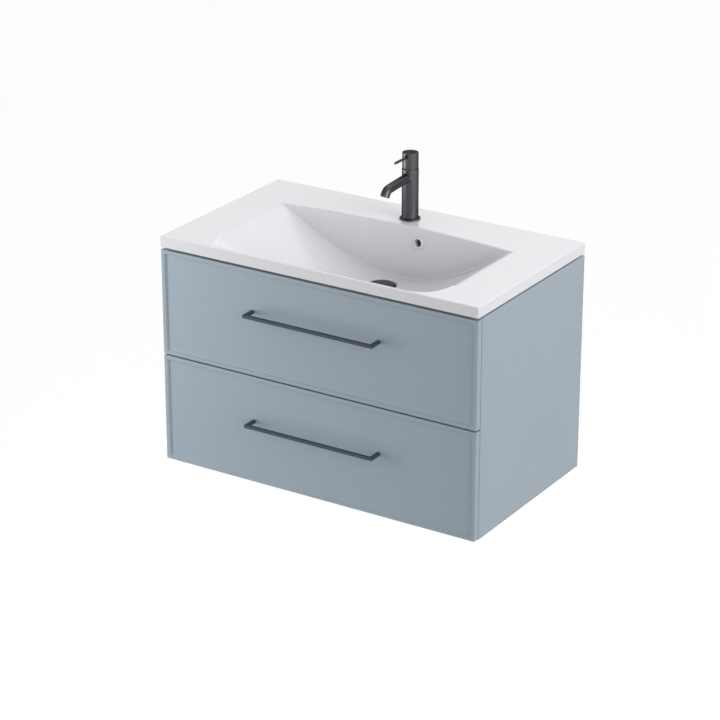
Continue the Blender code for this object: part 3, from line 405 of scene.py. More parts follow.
def turn_to(piece, centre, axis):
    """Tip an upright turned piece about a point so that its axis points another way."""
    centre = Vector(centre)
    spin = Vector((0, 0, 1)).rotation_difference(Vector(axis).normalized()).to_matrix()
    for vertex in piece.data.vertices:
        vertex.co = centre + spin @ (vertex.co - centre)
    return piece


def block(name, low, high):
    """A plain block, used only as a cutter or to be rounded."""
    low, high = Vector(low), Vector(high)
    mesh_data = bmesh.new()
    bmesh.ops.create_cube(mesh_data, size=1.0)
    bmesh.ops.scale(mesh_data, vec=high - low, verts=mesh_data.verts)
    bmesh.ops.translate(mesh_data, vec=(low + high) / 2, verts=mesh_data.verts)
    return finish_mesh(name, mesh_data)


# ---------------------------------------------------------------- materials
class Graph:
    """Short calls for building a material's node tree."""

    def __init__(self, name):
        self.material = bpy.data.materials.new(name)
        self.material.use_nodes = True
        self.tree = self.material.node_tree
        self.shader = self.tree.nodes["Principled BSDF"]

    def node(self, kind, **values):
        """A new node with some of its settings or sockets set."""
        made = self.tree.nodes.new(kind)
        for key, value in values.items():
            if hasattr(made, key):
                setattr(made, key, value)
            else:
                made.inputs[key.replace("_", " ")].default_value = value
        return made

    def link(self, out, to):
        """Link one socket to another."""
        self.tree.links.new(out, to)

    def place(self):
        """Coordinates fixed to the piece, in metres."""
        return self.node("ShaderNodeTexCoord").outputs["Object"]

    def noise(self, scale, detail):
        """Even noise fixed to the piece."""
        made = self.node("ShaderNodeTexNoise", Scale=scale, Detail=detail)
        self.link(self.place(), made.inputs["Vector"])
        return made.outputs["Fac"]

    def stretched_noise(self, scale, stretch):
        """Noise squeezed by a factor along each axis, for grain and brushing."""
        mapping = self.node("ShaderNodeMapping")
        mapping.inputs["Scale"].default_value = stretch
        self.link(self.place(), mapping.inputs["Vector"])
        made = self.node("ShaderNodeTexNoise", Scale=scale, Detail=3.0)
        self.link(mapping.outputs["Vector"], made.inputs["Vector"])
        return made.outputs["Fac"]

    def spread(self, value, low, high, start=0.3, end=0.7):
        """Map a 0-1 value between start and end to a range from low to high."""
        made = self.node("ShaderNodeMapRange")
        for socket, number in (("From Min", start), ("From Max", end), ("To Min", low), ("To Max", high)):
            made.inputs[socket].default_value = number
        self.link(value, made.inputs["Value"])
        return made.outputs["Result"]

    def patches(self, scale, detail, low=0.0, high=1.0):
        """Even noise mapped to a range from low to high."""
        return self.spread(self.noise(scale, detail), low, high)

    def blend(self, fac, first, second):
        """Mix two colours, each a tuple or a socket, by a factor socket."""
        made = self.node("ShaderNodeMix", data_type="RGBA")
        self.link(fac, made.inputs["Factor"])
        for socket, colour in ((made.inputs[6], first), (made.inputs[7], second)):
            if isinstance(colour, tuple):
                socket.default_value = (*colour, 1.0)
            else:
                self.link(colour, socket)
        return made.outputs[2]

    def edge_wear_and_highlight(self, colour, rubbed_and_lit_colour, radius, amount):
        """A colour that turns paler along sharp edges, up to an amount: partly rubbed edges, partly a painted
        edge highlight.
        """
        bevel = self.node("ShaderNodeBevel", samples=4)
        bevel.inputs["Radius"].default_value = radius
        geometry = self.node("ShaderNodeNewGeometry")
        dot = self.node("ShaderNodeVectorMath", operation="DOT_PRODUCT")
        self.link(bevel.outputs["Normal"], dot.inputs[0])
        self.link(geometry.outputs["True Normal"], dot.inputs[1])
        # mask of sharp edges, partly rubbed edges and partly a painted edge highlight
        rubbed_and_lit_edges = self.spread(dot.outputs["Value"], amount, 0.0, 0.75, 0.99)
        return self.blend(rubbed_and_lit_edges, colour, rubbed_and_lit_colour)

    def bump(self, height, strength, distance, under=None):
        """A normal from a height, on top of another normal where there is one."""
        made = self.node("ShaderNodeBump")
        made.inputs["Strength"].default_value = strength
        made.inputs["Distance"].default_value = distance
        self.link(height, made.inputs["Height"])
        if under:
            self.link(under, made.inputs["Normal"])
        return made.outputs["Normal"]

    def finish(self, **values):
        """Set shader sockets: numbers and colours directly, sockets by a link."""
        for key, value in values.items():
            socket = self.shader.inputs[key.replace("_", " ")]
            if isinstance(value, bpy.types.NodeSocket):
                self.link(value, socket)
            else:
                socket.default_value = value
        return self.material


def shade(colour, factor):
    """A colour made darker or paler."""
    return tuple(channel * factor for channel in colour)


def rubbed_and_lit_shade(colour, factor):
    """A colour made paler and slightly greyer, for sharp edges that are partly rubbed and partly a painted
    edge highlight.
    """
    return tuple(min(1.0, factor * channel + 0.02) for channel in colour)


def lacquer_look():
    """Satin sprayed lacquer: faint orange peel, slight mottling and paler edges, partly rubbed and partly a
    painted edge highlight.
    """
    graph = Graph("lacquer_satin")
    base = LACQUER_COLOUR
    colour = graph.blend(graph.patches(5.0, 4.0), shade(base, 0.985), shade(base, 1.015))
    # paler sharp edges: partly rubbed, partly a painted edge highlight
    colour = graph.edge_wear_and_highlight(colour, shade(base, 1.35), 0.0012, 0.10)
    peel = graph.noise(420.0, 2.0)
    dust = graph.noise(1600.0, 1.0)
    normal = graph.bump(peel, 0.10, 0.0002)
    normal = graph.bump(dust, 0.05, 0.00005, normal)
    rough = graph.patches(60.0, 3.0, 0.36, 0.42)
    return graph.finish(Base_Color=colour, Roughness=rough, Normal=normal, Specular_IOR_Level=0.5)


def ceramic_look():
    """Glazed sanitary ware: clear gloss over white, faint waviness and rare pinholes."""
    graph = Graph("ceramic_glaze")
    base = CERAMIC_COLOUR
    colour = graph.blend(graph.patches(3.0, 3.0), shade(base, 0.992), shade(base, 1.006))
    speck = graph.spread(graph.noise(900.0, 1.0), 0.0, 0.25, 0.72, 0.80)
    colour = graph.blend(speck, colour, shade(base, 0.93))
    wave = graph.noise(14.0, 2.0)
    normal = graph.bump(wave, 0.05, 0.0015)
    rough = graph.patches(35.0, 3.0, 0.16, 0.22)
    return graph.finish(Base_Color=colour, Roughness=rough, Normal=normal, Specular_IOR_Level=0.5,
                        Coat_Weight=0.25, Coat_Roughness=0.12)


def metal_look(name, colour, rough, metallic, edge_wear_and_highlight=0.3, brush=(1.0, 1.0, 1.0), glancing=1.0):
    """A coated or bare metal with fine brushing, patchy sheen and brighter edges, partly rubbed and partly a
    painted edge highlight.

    Rough is the range of its roughness, brush squeezes the brushing along each axis, and glancing dims
    what it mirrors at glancing angles.
    """
    graph = Graph(name)
    tone = graph.blend(graph.patches(40.0, 3.0), shade(colour, 0.94), shade(colour, 1.06))
    # brighter sharp edges: partly rubbed, partly a painted edge highlight
    tone = graph.edge_wear_and_highlight(tone, rubbed_and_lit_shade(colour, 2.0), 0.0006, edge_wear_and_highlight)
    grain = graph.stretched_noise(700.0, brush)
    normal = graph.bump(grain, 0.06, 0.0001)
    sheen = graph.spread(grain, *rough)
    return graph.finish(Base_Color=tone, Roughness=sheen, Normal=normal, Metallic=metallic,
                        Specular_Tint=(glancing, glancing, glancing, 1.0))


def board_look():
    """Melamine-faced drawer board: pale grey with a printed linen-like texture."""
    graph = Graph("drawer_board_melamine")
    base = BOARD_COLOUR
    along = graph.stretched_noise(260.0, (1.0, 0.06, 1.0))
    fleck = graph.spread(along, 0.0, 1.0)
    colour = graph.blend(fleck, shade(base, 0.94), shade(base, 1.05))
    # paler sharp edges: partly rubbed, partly a painted edge highlight
    colour = graph.edge_wear_and_highlight(colour, shade(base, 1.25), 0.0010, 0.20)
    normal = graph.bump(along, 0.12, 0.0002)
    rough = graph.patches(80.0, 2.0, 0.48, 0.60)
    return graph.finish(Base_Color=colour, Roughness=rough, Normal=normal)


def plastic_look(name, colour, rough, mould=0.08):
    """Moulded plastic or rubber: slight flow marks and a fine spark-eroded texture of a strength, mould."""
    graph = Graph(name)
    tone = graph.blend(graph.patches(22.0, 4.0), shade(colour, 0.96), shade(colour, 1.03))
    # paler sharp edges: partly rubbed, partly a painted edge highlight
    tone = graph.edge_wear_and_highlight(tone, rubbed_and_lit_shade(colour, 1.15), 0.0008, 0.25)
    texture = graph.noise(900.0, 2.0)
    normal = graph.bump(texture, mould, 0.0001)
    sheen = graph.patches(150.0, 2.0, *rough)
    return graph.finish(Base_Color=tone, Roughness=sheen, Normal=normal)


def make_looks():
    """One material for each of the record's material slots."""
    along_x, along_y, along_z = (0.05, 1.0, 1.0), (1.0, 0.05, 1.0), (1.0, 1.0, 0.05)
    return {
        "lacquer": lacquer_look(),
        "ceramic": ceramic_look(),
        "gunmetal": metal_look("gunmetal_brushed", GUNMETAL_COLOUR, rough=(0.34, 0.42), metallic=0.95,
                               edge_wear_and_highlight=0.45, brush=along_z, glancing=0.20),
        "handle_metal": metal_look("handle_coated", HANDLE_COLOUR, rough=(0.44, 0.54), metallic=0.25,
                                   brush=along_x),
        "drawer_board": board_look(),
        "zinc_steel": metal_look("zinc_plated_steel", ZINC_COLOUR, rough=(0.28, 0.44), metallic=1.0,
                                 brush=along_y),
        "trap_plastic": plastic_look("trap_white_plastic", TRAP_COLOUR, rough=(0.30, 0.40)),
        "rubber": plastic_look("rubber_black", RUBBER_COLOUR, rough=(0.68, 0.80), mould=0.2),
        "waste_metal": metal_look("waste_dark_metal", WASTE_COLOUR, rough=(0.28, 0.38), metallic=0.6),
        "brass": metal_look("brass_turned", BRASS_COLOUR, rough=(0.24, 0.36), metallic=1.0),
        "cartridge_plastic": plastic_look("cartridge_plastic", CARTRIDGE_COLOUR, rough=(0.38, 0.48)),
    }


# ---------------------------------------------------------------- basin
def smooth_min(value, limit, width):
    """The smaller of two values, rounded where they cross."""
    overlap = max(width - abs(value - limit), 0) / width
    return min(value, limit) - overlap ** 2 * width / 4


def bowl_floor(x):
    """Height of the ramped floor at x, softly rounded over into the deck."""
    raw = BOWL_FLOOR_Z + BOWL_DEPTH * (abs(x) / BOWL_HALF_WIDTH) ** BOWL_RAMP_POWER
    return smooth_min(raw, SLAB_TOP + TOUCH, RAMP_ROUND)


def rim_back_y(x):
    """Y of the bowl's back rim, bowed back in the middle."""
    return BOWL_BACK_Y - BOWL_BACK_BOW * (x / BOWL_HALF_WIDTH) ** 2


def bowl_front_edge(x):
    """Y of the bowl's front edge, with round plan corners."""
    into_corner = min(max(abs(x) - (BOWL_HALF_WIDTH - BOWL_CORNER), 0), BOWL_CORNER)
    return BOWL_FRONT_Y + BOWL_CORNER - math.sqrt(BOWL_CORNER ** 2 - into_corner ** 2)


def front_run(share):
    """Length of the rise to the front lip, where the bowl has this share of its full depth."""
    return max(BOWL_FRONT_RUN * share ** FRONT_RUN_POWER, SHORTEST_FRONT_RUN)


def bowl_line(x):
    """The bowl's surface at x, from the deck behind it to the deck in front, as (y, z) points."""
    floor, top = bowl_floor(x), SLAB_TOP + TOUCH
    depth = max(top - floor, FINEST_STEP)
    share = depth / BOWL_DEPTH
    wall = Vector((-BACK_WALL_LEAN, -1)).normalized()
    back = rim_back_y(x)
    rim = Vector((back, top))
    crease = rim + Vector((-BACK_WALL_LEAN * depth, -depth))
    fillet = min(CREASE_ROUND + CREASE_SWELL * share * (1 - share), depth * 0.45)
    reach = min(RIM_REACH, depth * 0.4)
    points = [Vector((back + RIM_REACH + out, top)) for out in (RIM_FLARE, RIM_FLARE / 2)]
    points += curve_between(rim + Vector((reach, 0)), rim, rim + wall * reach, 6)
    start, end = rim + wall * reach, crease - wall * fillet
    points += [start.lerp(end, i / 14) for i in range(14)]
    floor_start = crease + Vector((-fillet, 0))
    points += curve_between(end, crease, floor_start, 10)
    run = front_run(share)
    rise_start = bowl_front_edge(x) + run
    points += [floor_start.lerp(Vector((rise_start, floor)), i / 10) for i in range(10)]
    softness = min(RIM_ROUND, depth * 0.5)
    for i in range(45):
        t = 1.10 * i / 44
        raw = floor + depth * t ** BOWL_FRONT_POWER
        points.append(Vector((rise_start - run * t, smooth_min(raw, top, softness))))
    return points


def bowl_columns(half_width, swing, count):
    """X positions of the bowl's lines, closer together towards both ends by a sine's swing."""
    shares = [2 * i / count - 1 for i in range(count + 1)]
    return [half_width * math.sin(swing * share) / math.sin(swing) for share in shares]


def sunk_line(x, line, step):
    """A line of (y, z) points at x as places that always run forward, sunk around the waste."""
    places = []
    last_y = 1.0
    for y, z in line:
        last_y = min(y, last_y - step)
        away = math.hypot(x, last_y - WASTE_Y)
        places.append((x, last_y, z - WASTE_DIP * max(0, 1 - (away / WASTE_DIP_RADIUS) ** 2) ** 2))
    return places


def bowl_cutter():
    """The fine hollow of the bowl, with a rim that flares out level with the deck."""
    lid = SLAB_TOP + 2 * CUTTER_REACH
    loops = []
    for x in bowl_columns(1.03 * BOWL_HALF_WIDTH, math.radians(78), 150):
        line = sunk_line(x, bowl_line(x), FINEST_STEP)
        loops.append(line + [(x, line[-1][1], lid), (x, line[0][1], lid)])
    return loft("bowl_cutter", loops)


def outside_line(x, half_width):
    """The bowl's outside at x, one ceramic thickness from its surface, as (y, z) points up to a lid."""
    top, lid = SLAB_TOP - OUTSIDE_DROP, SLAB_TOP - OUTSIDE_DROP / 2
    floor_z = BOWL_FLOOR_Z - CERAMIC
    floor = floor_z + (top - floor_z) * min(1.0, (abs(x) / half_width) ** BOWL_RAMP_POWER)
    depth = max(top - floor, THINNEST_OUTSIDE)
    inner_x = x * BOWL_HALF_WIDTH / half_width
    back = rim_back_y(inner_x) + CERAMIC
    crease = Vector((back - depth * BACK_WALL_LEAN, floor))
    fillet = min(OUTSIDE_FILLET, depth * 0.45)
    wall = Vector((BACK_WALL_LEAN, 1)).normalized()
    points = [Vector((back, lid)), Vector((back - 0.002 * BACK_WALL_LEAN, top - 0.0001))]
    points += curve_between(crease + wall * fillet, crease, crease - Vector((fillet, 0)), 6)
    run = front_run(depth / (top - floor_z))
    edge = bowl_front_edge(inner_x) + OUTSIDE_FRONT_GAP
    for k in range(14):
        t = k / 13
        points.append(Vector((edge + run * (1 - t), floor + depth * t ** BOWL_FRONT_POWER)))
    return points + [Vector((points[-1].x - 0.0001, lid))]


def bowl_outside():
    """The outside of the bowl, as a solid that reaches up into the deck."""
    half_width = BOWL_HALF_WIDTH + CERAMIC
    columns = bowl_columns(1.01 * half_width, 1.36, 48)
    return loft("bowl_outside", [sunk_line(x, outside_line(x, half_width), 0.00005) for x in columns])


def overflow_mouth():
    """Centre of the overflow hole on the back wall, and the way it faces."""
    wall_y = rim_back_y(OVERFLOW_X) - (SLAB_TOP - OVERFLOW_Z) * BACK_WALL_LEAN
    return (OVERFLOW_X, wall_y, OVERFLOW_Z), (OVERFLOW_YAW, -1, BACK_WALL_LEAN)


def slab_loop(inset, z):
    """The slab's outline at one height, with small round corners, pulled in by inset."""
    low_x, high_x = BASIN_LOW.x + inset, BASIN_HIGH.x - inset
    low_y, high_y = BASIN_LOW.y + inset, BASIN_HIGH.y - inset
    loop = rounded_rectangle(low_x, high_x, low_y, high_y, SLAB_ROUND - inset * 0.8)
    return [(x, y, z) for x, y in loop]


def slab_loops():
    """Outlines up the slab: a crisp lower edge and a softly rounded upper edge."""
    loops = []
    for sine, cosine in quarter(3):
        loops.append(slab_loop(SLAB_FOOT_ROUND * (1 - sine), SLAB_BOTTOM + SLAB_FOOT_ROUND * (1 - cosine)))
    for sine, cosine in quarter(7):
        loops.append(slab_loop(SLAB_ROUND * (1 - cosine), SLAB_TOP - SLAB_ROUND * (1 - sine)))
    return loops


def make_slab():
    """The slab with the inset ledge under it, hollowed out from below."""
    basin = loft("basin_ceramic", slab_loops())
    ledge = block("ledge", (-LEDGE_X, LEDGE_FRONT_Y, LEDGE_BOTTOM),
                  (LEDGE_X, LEDGE_BACK_Y, SLAB_BOTTOM + 0.004))
    soften(ledge, 0.0012)
    bake_modifiers(ledge)
    join(basin, ledge)
    pocket_x = LEDGE_X - CERAMIC
    cut(basin, block("pocket", (-pocket_x, LEDGE_FRONT_Y + CERAMIC, LEDGE_BOTTOM - CUTTER_REACH),
                     (pocket_x, LEDGE_BACK_Y - CERAMIC, SLAB_TOP - DECK_THICKNESS)))
    return basin


def overflow_duct():
    """The overflow's box behind the bowl and its run to the waste, as solids."""
    outer_x = DUCT_HALF_WIDTH + DUCT_WALL
    duct = block("duct", (OVERFLOW_X - outer_x, DUCT_Y - 0.022, DUCT_BOTTOM - DUCT_WALL),
                 (OVERFLOW_X + outer_x, DUCT_Y + DUCT_HALF_DEPTH + DUCT_WALL, SLAB_TOP - 0.0092))
    soften(duct, 0.005, 3)
    bake_modifiers(duct)
    run = block("duct_run", (-DUCT_RUN_HALF_LENGTH, -DUCT_RUN_HALF_WIDTH, DUCT_RUN_BOTTOM),
                (DUCT_RUN_HALF_LENGTH, DUCT_RUN_HALF_WIDTH, DUCT_RUN_TOP))
    run.rotation_euler = (0, 0, math.atan2(DUCT_Y - WASTE_Y, OVERFLOW_X))
    run.location = (OVERFLOW_X / 2, (DUCT_Y + WASTE_Y) / 2, 0)
    return duct, run


def basin_holes():
    """Cutters of the waste's seat and bore, the tap's hole, the overflow and the duct's hollow."""
    seat = drill("seat", SEAT_RADIUS, SEAT_Z, 0.02, WASTE_CENTRE)
    bore = drill("bore", WASTE_BORE_RADIUS, BOSS_BOTTOM - 0.022, 0, WASTE_CENTRE)
    tap_hole = drill("tap_hole", TAP_HOLE_RADIUS, 0.05, 0.12, TAP_CENTRE)
    mouth, way = overflow_mouth()
    overflow = turn_to(drill("overflow", OVERFLOW_RADIUS, -0.018, 0.018, mouth), mouth, way)
    hollow = block("hollow", (OVERFLOW_X - DUCT_HALF_WIDTH, DUCT_Y - DUCT_HALF_DEPTH, DUCT_BOTTOM),
                   (OVERFLOW_X + DUCT_HALF_WIDTH, DUCT_Y + DUCT_HALF_DEPTH, DUCT_TOP))
    return seat, bore, tap_hole, overflow, hollow


def make_basin(look):
    """Slab, ledge, bowl, waste boss and overflow duct in one, with all their holes."""
    basin = make_slab()
    boss = lathe("boss", rounded(ring_section(0, BOSS_RADIUS, BOSS_BOTTOM, BOSS_TOP), 0.003), WASTE_CENTRE)
    join(basin, bowl_outside(), boss, *overflow_duct())
    cut(basin, bowl_cutter())
    cut(basin, *basin_holes())
    even_normals(basin)
    place(basin, "basin", look)


# ---------------------------------------------------------------- fronts and handles
def front_loop(low, high, inset, radius, y):
    """A front's outline in a plane of constant y, with round corners, inset from its outer edges."""
    loop = rounded_rectangle(inset - high.x, high.x - inset, low.z + inset, high.z - inset, radius)
    return [(x, y, z) for x, z in loop]


def front_section():
    """(inset, depth) points across a front's edge, from its outer edge in to the recessed field."""
    points = [(FRONT_ROUND * (1 - cosine), FRONT_ROUND * (1 - sine)) for sine, cosine in quarter(6)]
    points.append((BORDER * 0.5, 0.0))
    points += [(BORDER + BORDER_NOSE * sine, BORDER_NOSE * (1 - cosine)) for sine, cosine in quarter(4)]
    start = BORDER + BORDER_NOSE + BORDER_STEP
    points += [(start + COVE * (1 - cosine), RECESS - COVE * (1 - sine)) for sine, cosine in quarter(7)]
    points.append((start + COVE + FIELD_EDGE, RECESS))
    return points


def make_front(node, look):
    """A drawer front: softly rounded raised border, small cove and a flat field."""
    low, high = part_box(node)
    back = ((FRONT_BACK_ROUND, 0.0), (0.0002, FRONT_BACK_ROUND * 0.3), (0.0, FRONT_BACK_ROUND))
    loops = [front_loop(low, high, inset, FRONT_CORNER, high.y - depth) for inset, depth in back]
    for inset, depth in front_section():
        radius = FRONT_CORNER
        if inset >= BORDER:
            radius = max(FIELD_CORNER - (inset - BORDER), SMALLEST_FIELD_CORNER)
        loops.append(front_loop(low, high, inset, radius, low.y + depth))
    front = loft(f"{node}_panel", loops)
    even_normals(front)
    place(front, node, look)


def make_handle(node, look):
    """A square bar with softened corners, bent back to the front at both ends."""
    low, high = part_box(node)
    bar = high.z - low.z
    inner_low, inner_high, inner_y = low.x + bar, high.x - bar, low.y + bar
    shape = [
        (low.x, high.y), (low.x, low.y), (high.x, low.y), (high.x, high.y),
        (inner_high, high.y), (inner_high, inner_y), (inner_low, inner_y), (inner_low, high.y),
    ]
    handle = loft(f"{node}_bar", [[(x, y, z) for x, y in shape] for z in (low.z, high.z)])
    soften(handle, HANDLE_ROUND, 3)
    place(handle, node, look)


# ---------------------------------------------------------------- tap
def heading(slope):
    """Direction forward along the spout, at a slope below the horizontal."""
    return Vector((0, -math.cos(slope), -math.sin(slope)))


def inward(slope):
    """Direction from the spout's centre line to the middle of its bend."""
    return Vector((0, math.sin(slope), -math.cos(slope)))


def spout_line(end_run):
    """Centre line of the spout: gently down and forward, round the bend, then down to the mouth."""
    start = Vector((0, TAP_Y, SPOUT_Z))
    straight = (TAP_Y - SPOUT_BEND_Y) / math.cos(SPOUT_SLOPE)
    bend_start = start + heading(SPOUT_SLOPE) * straight
    centre = bend_start + inward(SPOUT_SLOPE) * SPOUT_BEND_RADIUS
    path = [start + heading(SPOUT_SLOPE) * (0.006 + 0.002 * i) for i in range(12)]
    path += [path[-1].lerp(bend_start, i / 5) for i in range(1, 5)]
    for i in range(25):
        slope = SPOUT_SLOPE + (SPOUT_END_SLOPE - SPOUT_SLOPE) * i / 24
        path.append(centre - inward(slope) * SPOUT_BEND_RADIUS)
    path.append(path[-1] + heading(SPOUT_END_SLOPE) * end_run)
    return path


def spout_radii(count):
    """Radius along the spout, flared where it grows out of the column."""
    radii = []
    for k in range(count):
        away = max(0.0, 1 - max(0, k - 4) / 5)
        radii.append(SPOUT_RADIUS + SPOUT_FLARE * away ** 2)
    return radii


def make_tap_body(look):
    """Column and spout in one, with the open seat for the cartridge and the mouth."""
    low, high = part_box("tap_body")
    seat, seat_z = CARTRIDGE_SEAT_RADIUS, CARTRIDGE_SEAT_Z
    body = lathe("tap_column", rounded([
        (0, low.z), (high.x, low.z), (high.x, high.z), (seat, high.z), (seat, seat_z), (0, seat_z),
    ], 0.0005, 3), TAP_CENTRE, 96)
    path = spout_line(SPOUT_END_RUN)
    join(body, sweep("spout", path, spout_radii(len(path)), 56))
    bore_path = spout_line(SPOUT_END_RUN + CUTTER_REACH)
    bore = sweep("spout_bore", bore_path, [SPOUT_BORE_RADIUS] * len(bore_path), 40)
    mouth, way = path[-1], heading(SPOUT_END_SLOPE)
    recess = sweep("mouth_seat", [mouth - way * MOUTH_DEPTH, mouth + way * 0.006], [MOUTH_RADIUS] * 2, 48)
    chamfer_radii = [MOUTH_RADIUS, MOUTH_RADIUS + 0.0047]
    chamfer = sweep("mouth_chamfer", [mouth - way * 0.0004, mouth + way * 0.004], chamfer_radii, 48)
    shaft = drill("body_bore", MIXING_BORE_RADIUS, MIXING_BORE_Z, seat_z + 0.005, TAP_CENTRE, 48)
    cut(body, shaft, bore, recess, chamfer)
    even_normals(body)
    place(body, "tap_body", look)
    return mouth, way


def make_tap_rings(looks):
    """Base ring and the gasket under it."""
    low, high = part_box("tap_base_ring")
    bore, edge = BASE_RING_BORE, high.x
    ring = lathe("tap_base_flange", rounded([
        (bore, low.z), (edge, low.z), (edge, high.z - 0.0012), (edge - 0.0022, high.z), (bore, high.z),
    ], 0.0007, 4), TAP_CENTRE, 96)
    place(ring, "tap_base_ring", looks["gunmetal"])
    gasket = lathe("tap_gasket_ring", soft_ring("tap_gasket", GASKET_BORE, 0.0004, 3), TAP_CENTRE)
    place(gasket, "tap_gasket", looks["rubber"])


def make_aerator(looks, mouth, way):
    """The aerator's rim in the spout's mouth and the mesh inside it."""
    insert = lathe("aerator_insert", rounded([
        (0.0058, -0.0060), (0.0085, -0.0060), (0.0085, -0.0010), (0.0076, -0.0008), (0.0058, -0.0016),
    ], 0.0003, 3), mouth, 48)
    place(turn_to(insert, mouth, way), "aerator", looks["zinc_steel"])
    add(aerator_mesh(mouth, way), "aerator", looks["cartridge_plastic"])


def aerator_mesh(mouth, way):
    """Crossed fine bars across the aerator."""
    mesh_data = bmesh.new()
    half, pitch, wire, depth, level = 0.0057, 0.0015, 0.0004, 0.0006, -0.0036
    for k in range(-3, 4):
        offset = k * pitch
        length = 2 * math.sqrt(half ** 2 - offset ** 2)
        for size, centre in (((length, wire, depth), (0, offset, level)),
                             ((wire, length, depth), (offset, 0, level - depth * 1.1))):
            made = bmesh.ops.create_cube(mesh_data, size=1.0)["verts"]
            bmesh.ops.scale(mesh_data, vec=size, verts=made)
            bmesh.ops.translate(mesh_data, vec=Vector(centre) + mouth, verts=made)
    return turn_to(finish_mesh("aerator_grid", mesh_data), mouth, way)


def make_cartridge(look):
    """The cartridge, whose collar shows in the seam under the turning head."""
    low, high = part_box("tap_cartridge")
    collar_low, collar_high, shoulder = 0.2125, 0.2135, 0.2260
    cartridge = lathe("tap_cartridge_body", rounded([
        (0, low.z), (0.0140, low.z), (0.0140, collar_low), (0.0152, collar_low), (0.0152, collar_high),
        (0.0125, collar_high), (0.0125, shoulder), (0.0060, shoulder), (0.0060, high.z), (0, high.z),
    ], 0.0004, 3), TAP_CENTRE)
    place(cartridge, "tap_cartridge", look)


def make_tap_head(look):
    """The turning head with the slot for the lever."""
    low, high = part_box("tap_head")
    radius, inner, roof = high.x, high.x - HEAD_WALL, high.z - HEAD_ROOF
    head = lathe("tap_turning_cap", rounded([
        (0, roof), (inner, roof), (inner, low.z), (radius, low.z), (radius, high.z), (0, high.z),
    ], 0.0009, 4), TAP_CENTRE, 96)
    slot = block("lever_slot", (-SLOT_HALF_WIDTH, TAP_Y - 0.022, LEVER_Z - SLOT_BELOW),
                 (SLOT_HALF_WIDTH, TAP_Y - 0.010, LEVER_Z + SLOT_ABOVE))
    soften(slot, 0.0012, 3)
    bake_modifiers(slot)
    cut(head, slot)
    even_normals(head)
    place(head, "tap_head", look)


def make_lever(look):
    """The pin lever with the hub that it tilts on."""
    tip = TAP_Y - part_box("tap_lever")[0].y
    centre = (0, TAP_Y, LEVER_Z)
    pin_section = rounded(ring_section(0, LEVER_RADIUS, 0.002, tip), 0.0006, 4)
    lever = turn_to(lathe("tap_pin_lever", pin_section, centre, 40), centre, (0, -1, 0))
    half = LEVER_HUB_HALF_LENGTH
    hub_section = rounded(ring_section(0, LEVER_HUB_RADIUS, -half, half), 0.0005, 3)
    join(lever, turn_to(lathe("lever_hub", hub_section, centre, 40), centre, (1, 0, 0)))
    place(lever, "tap_lever", look)


def make_tap_fixing(looks):
    """Stud with its thread and hexagon nut under the deck."""
    low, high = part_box("tap_stud")
    stud = threaded("tap_stud_thread", (0, STUD_Y, low.z), high.z - low.z)
    place(stud, "tap_stud", looks["zinc_steel"])
    low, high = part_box("tap_nut")
    hexagons = []
    angles = [math.radians(60 * i) for i in range(6)]
    for z, grow in ((low.z, 0.93), (low.z + 0.0008, 1.0), (high.z - 0.0008, 1.0), (high.z, 0.93)):
        radius = NUT_RADIUS * grow
        hexagons.append([(radius * math.cos(a), STUD_Y + radius * math.sin(a), z) for a in angles])
    nut = loft("tap_hexagon_nut", hexagons, 25)
    middle = (0, STUD_Y, (low.z + high.z) / 2)
    cut(nut, drill("nut_hole", NUT_BORE_RADIUS, -CUTTER_REACH, CUTTER_REACH, middle, 32))
    place(nut, "tap_nut", looks["brass"])


def threaded(name, foot, length):
    """An upright threaded rod, as a stack of fine ridges."""
    root, crest = STUD_RADIUS - THREAD_DEPTH, STUD_RADIUS
    profile = [(0, 0), (root, 0)]
    count = int(length / THREAD_PITCH)
    for k in range(count):
        for radius, part in ((crest, 0.25), (crest, 0.45), (root, 0.75)):
            profile.append((radius, (k + part) * length / count))
    return lathe(name, profile + [(root, length), (0, length)], foot, 24)


# ---------------------------------------------------------------- waste, overflow and trap
def make_waste(look):
    """Waste flange with its tube, the bridge that guides the plug, and the overflow slots."""
    tube, bore = WASTE_TUBE_RADIUS, WASTE_TUBE_BORE
    flange = lathe("waste_flange", rounded([
        (bore, WASTE_TUBE_LOW), (tube, WASTE_TUBE_LOW), (tube, -0.0297), (0.0330, -0.0297), (0.0330, -0.0266),
        (0.0318, -0.0262), (0.0306, -0.0264), (0.0294, -0.0285), (0.0200, -0.0290), (bore, -0.0302),
    ], 0.0005, 3), WASTE_CENTRE, 96)
    join(flange, block("bridge", (-0.0188, WASTE_Y - 0.004, -0.062), (0.0188, WASTE_Y + 0.004, -0.056)))
    guide = drill("guide", 0.0043, -0.07, -0.05, WASTE_CENTRE, 32)
    slots = block("slots", (-0.03, WASTE_Y - 0.006, -0.044), (0.03, WASTE_Y + 0.006, -0.036))
    cut(flange, guide, slots)
    place(flange, "waste_body", look)


def make_plug(look):
    """The push plug: a stem under a shallow domed cap."""
    plug = lathe("push_plug_cap", [
        (0, -0.0640), (0.0034, -0.0640), (0.0040, -0.0634), (0.0040, -0.0284), (0.0044, -0.0280),
        (0.0266, -0.0280), (0.0280, -0.0274), (0.0287, -0.0264), (0.0290, -0.0250), (0.0289, -0.0240),
        (0.0284, -0.0232), (0.0275, -0.0227), (0.0250, -0.0223), (0.0180, -0.02195), (0.0090, -0.02184),
        (0, -0.0218),
    ], WASTE_CENTRE, 96)
    place(plug, "waste_plug", look)


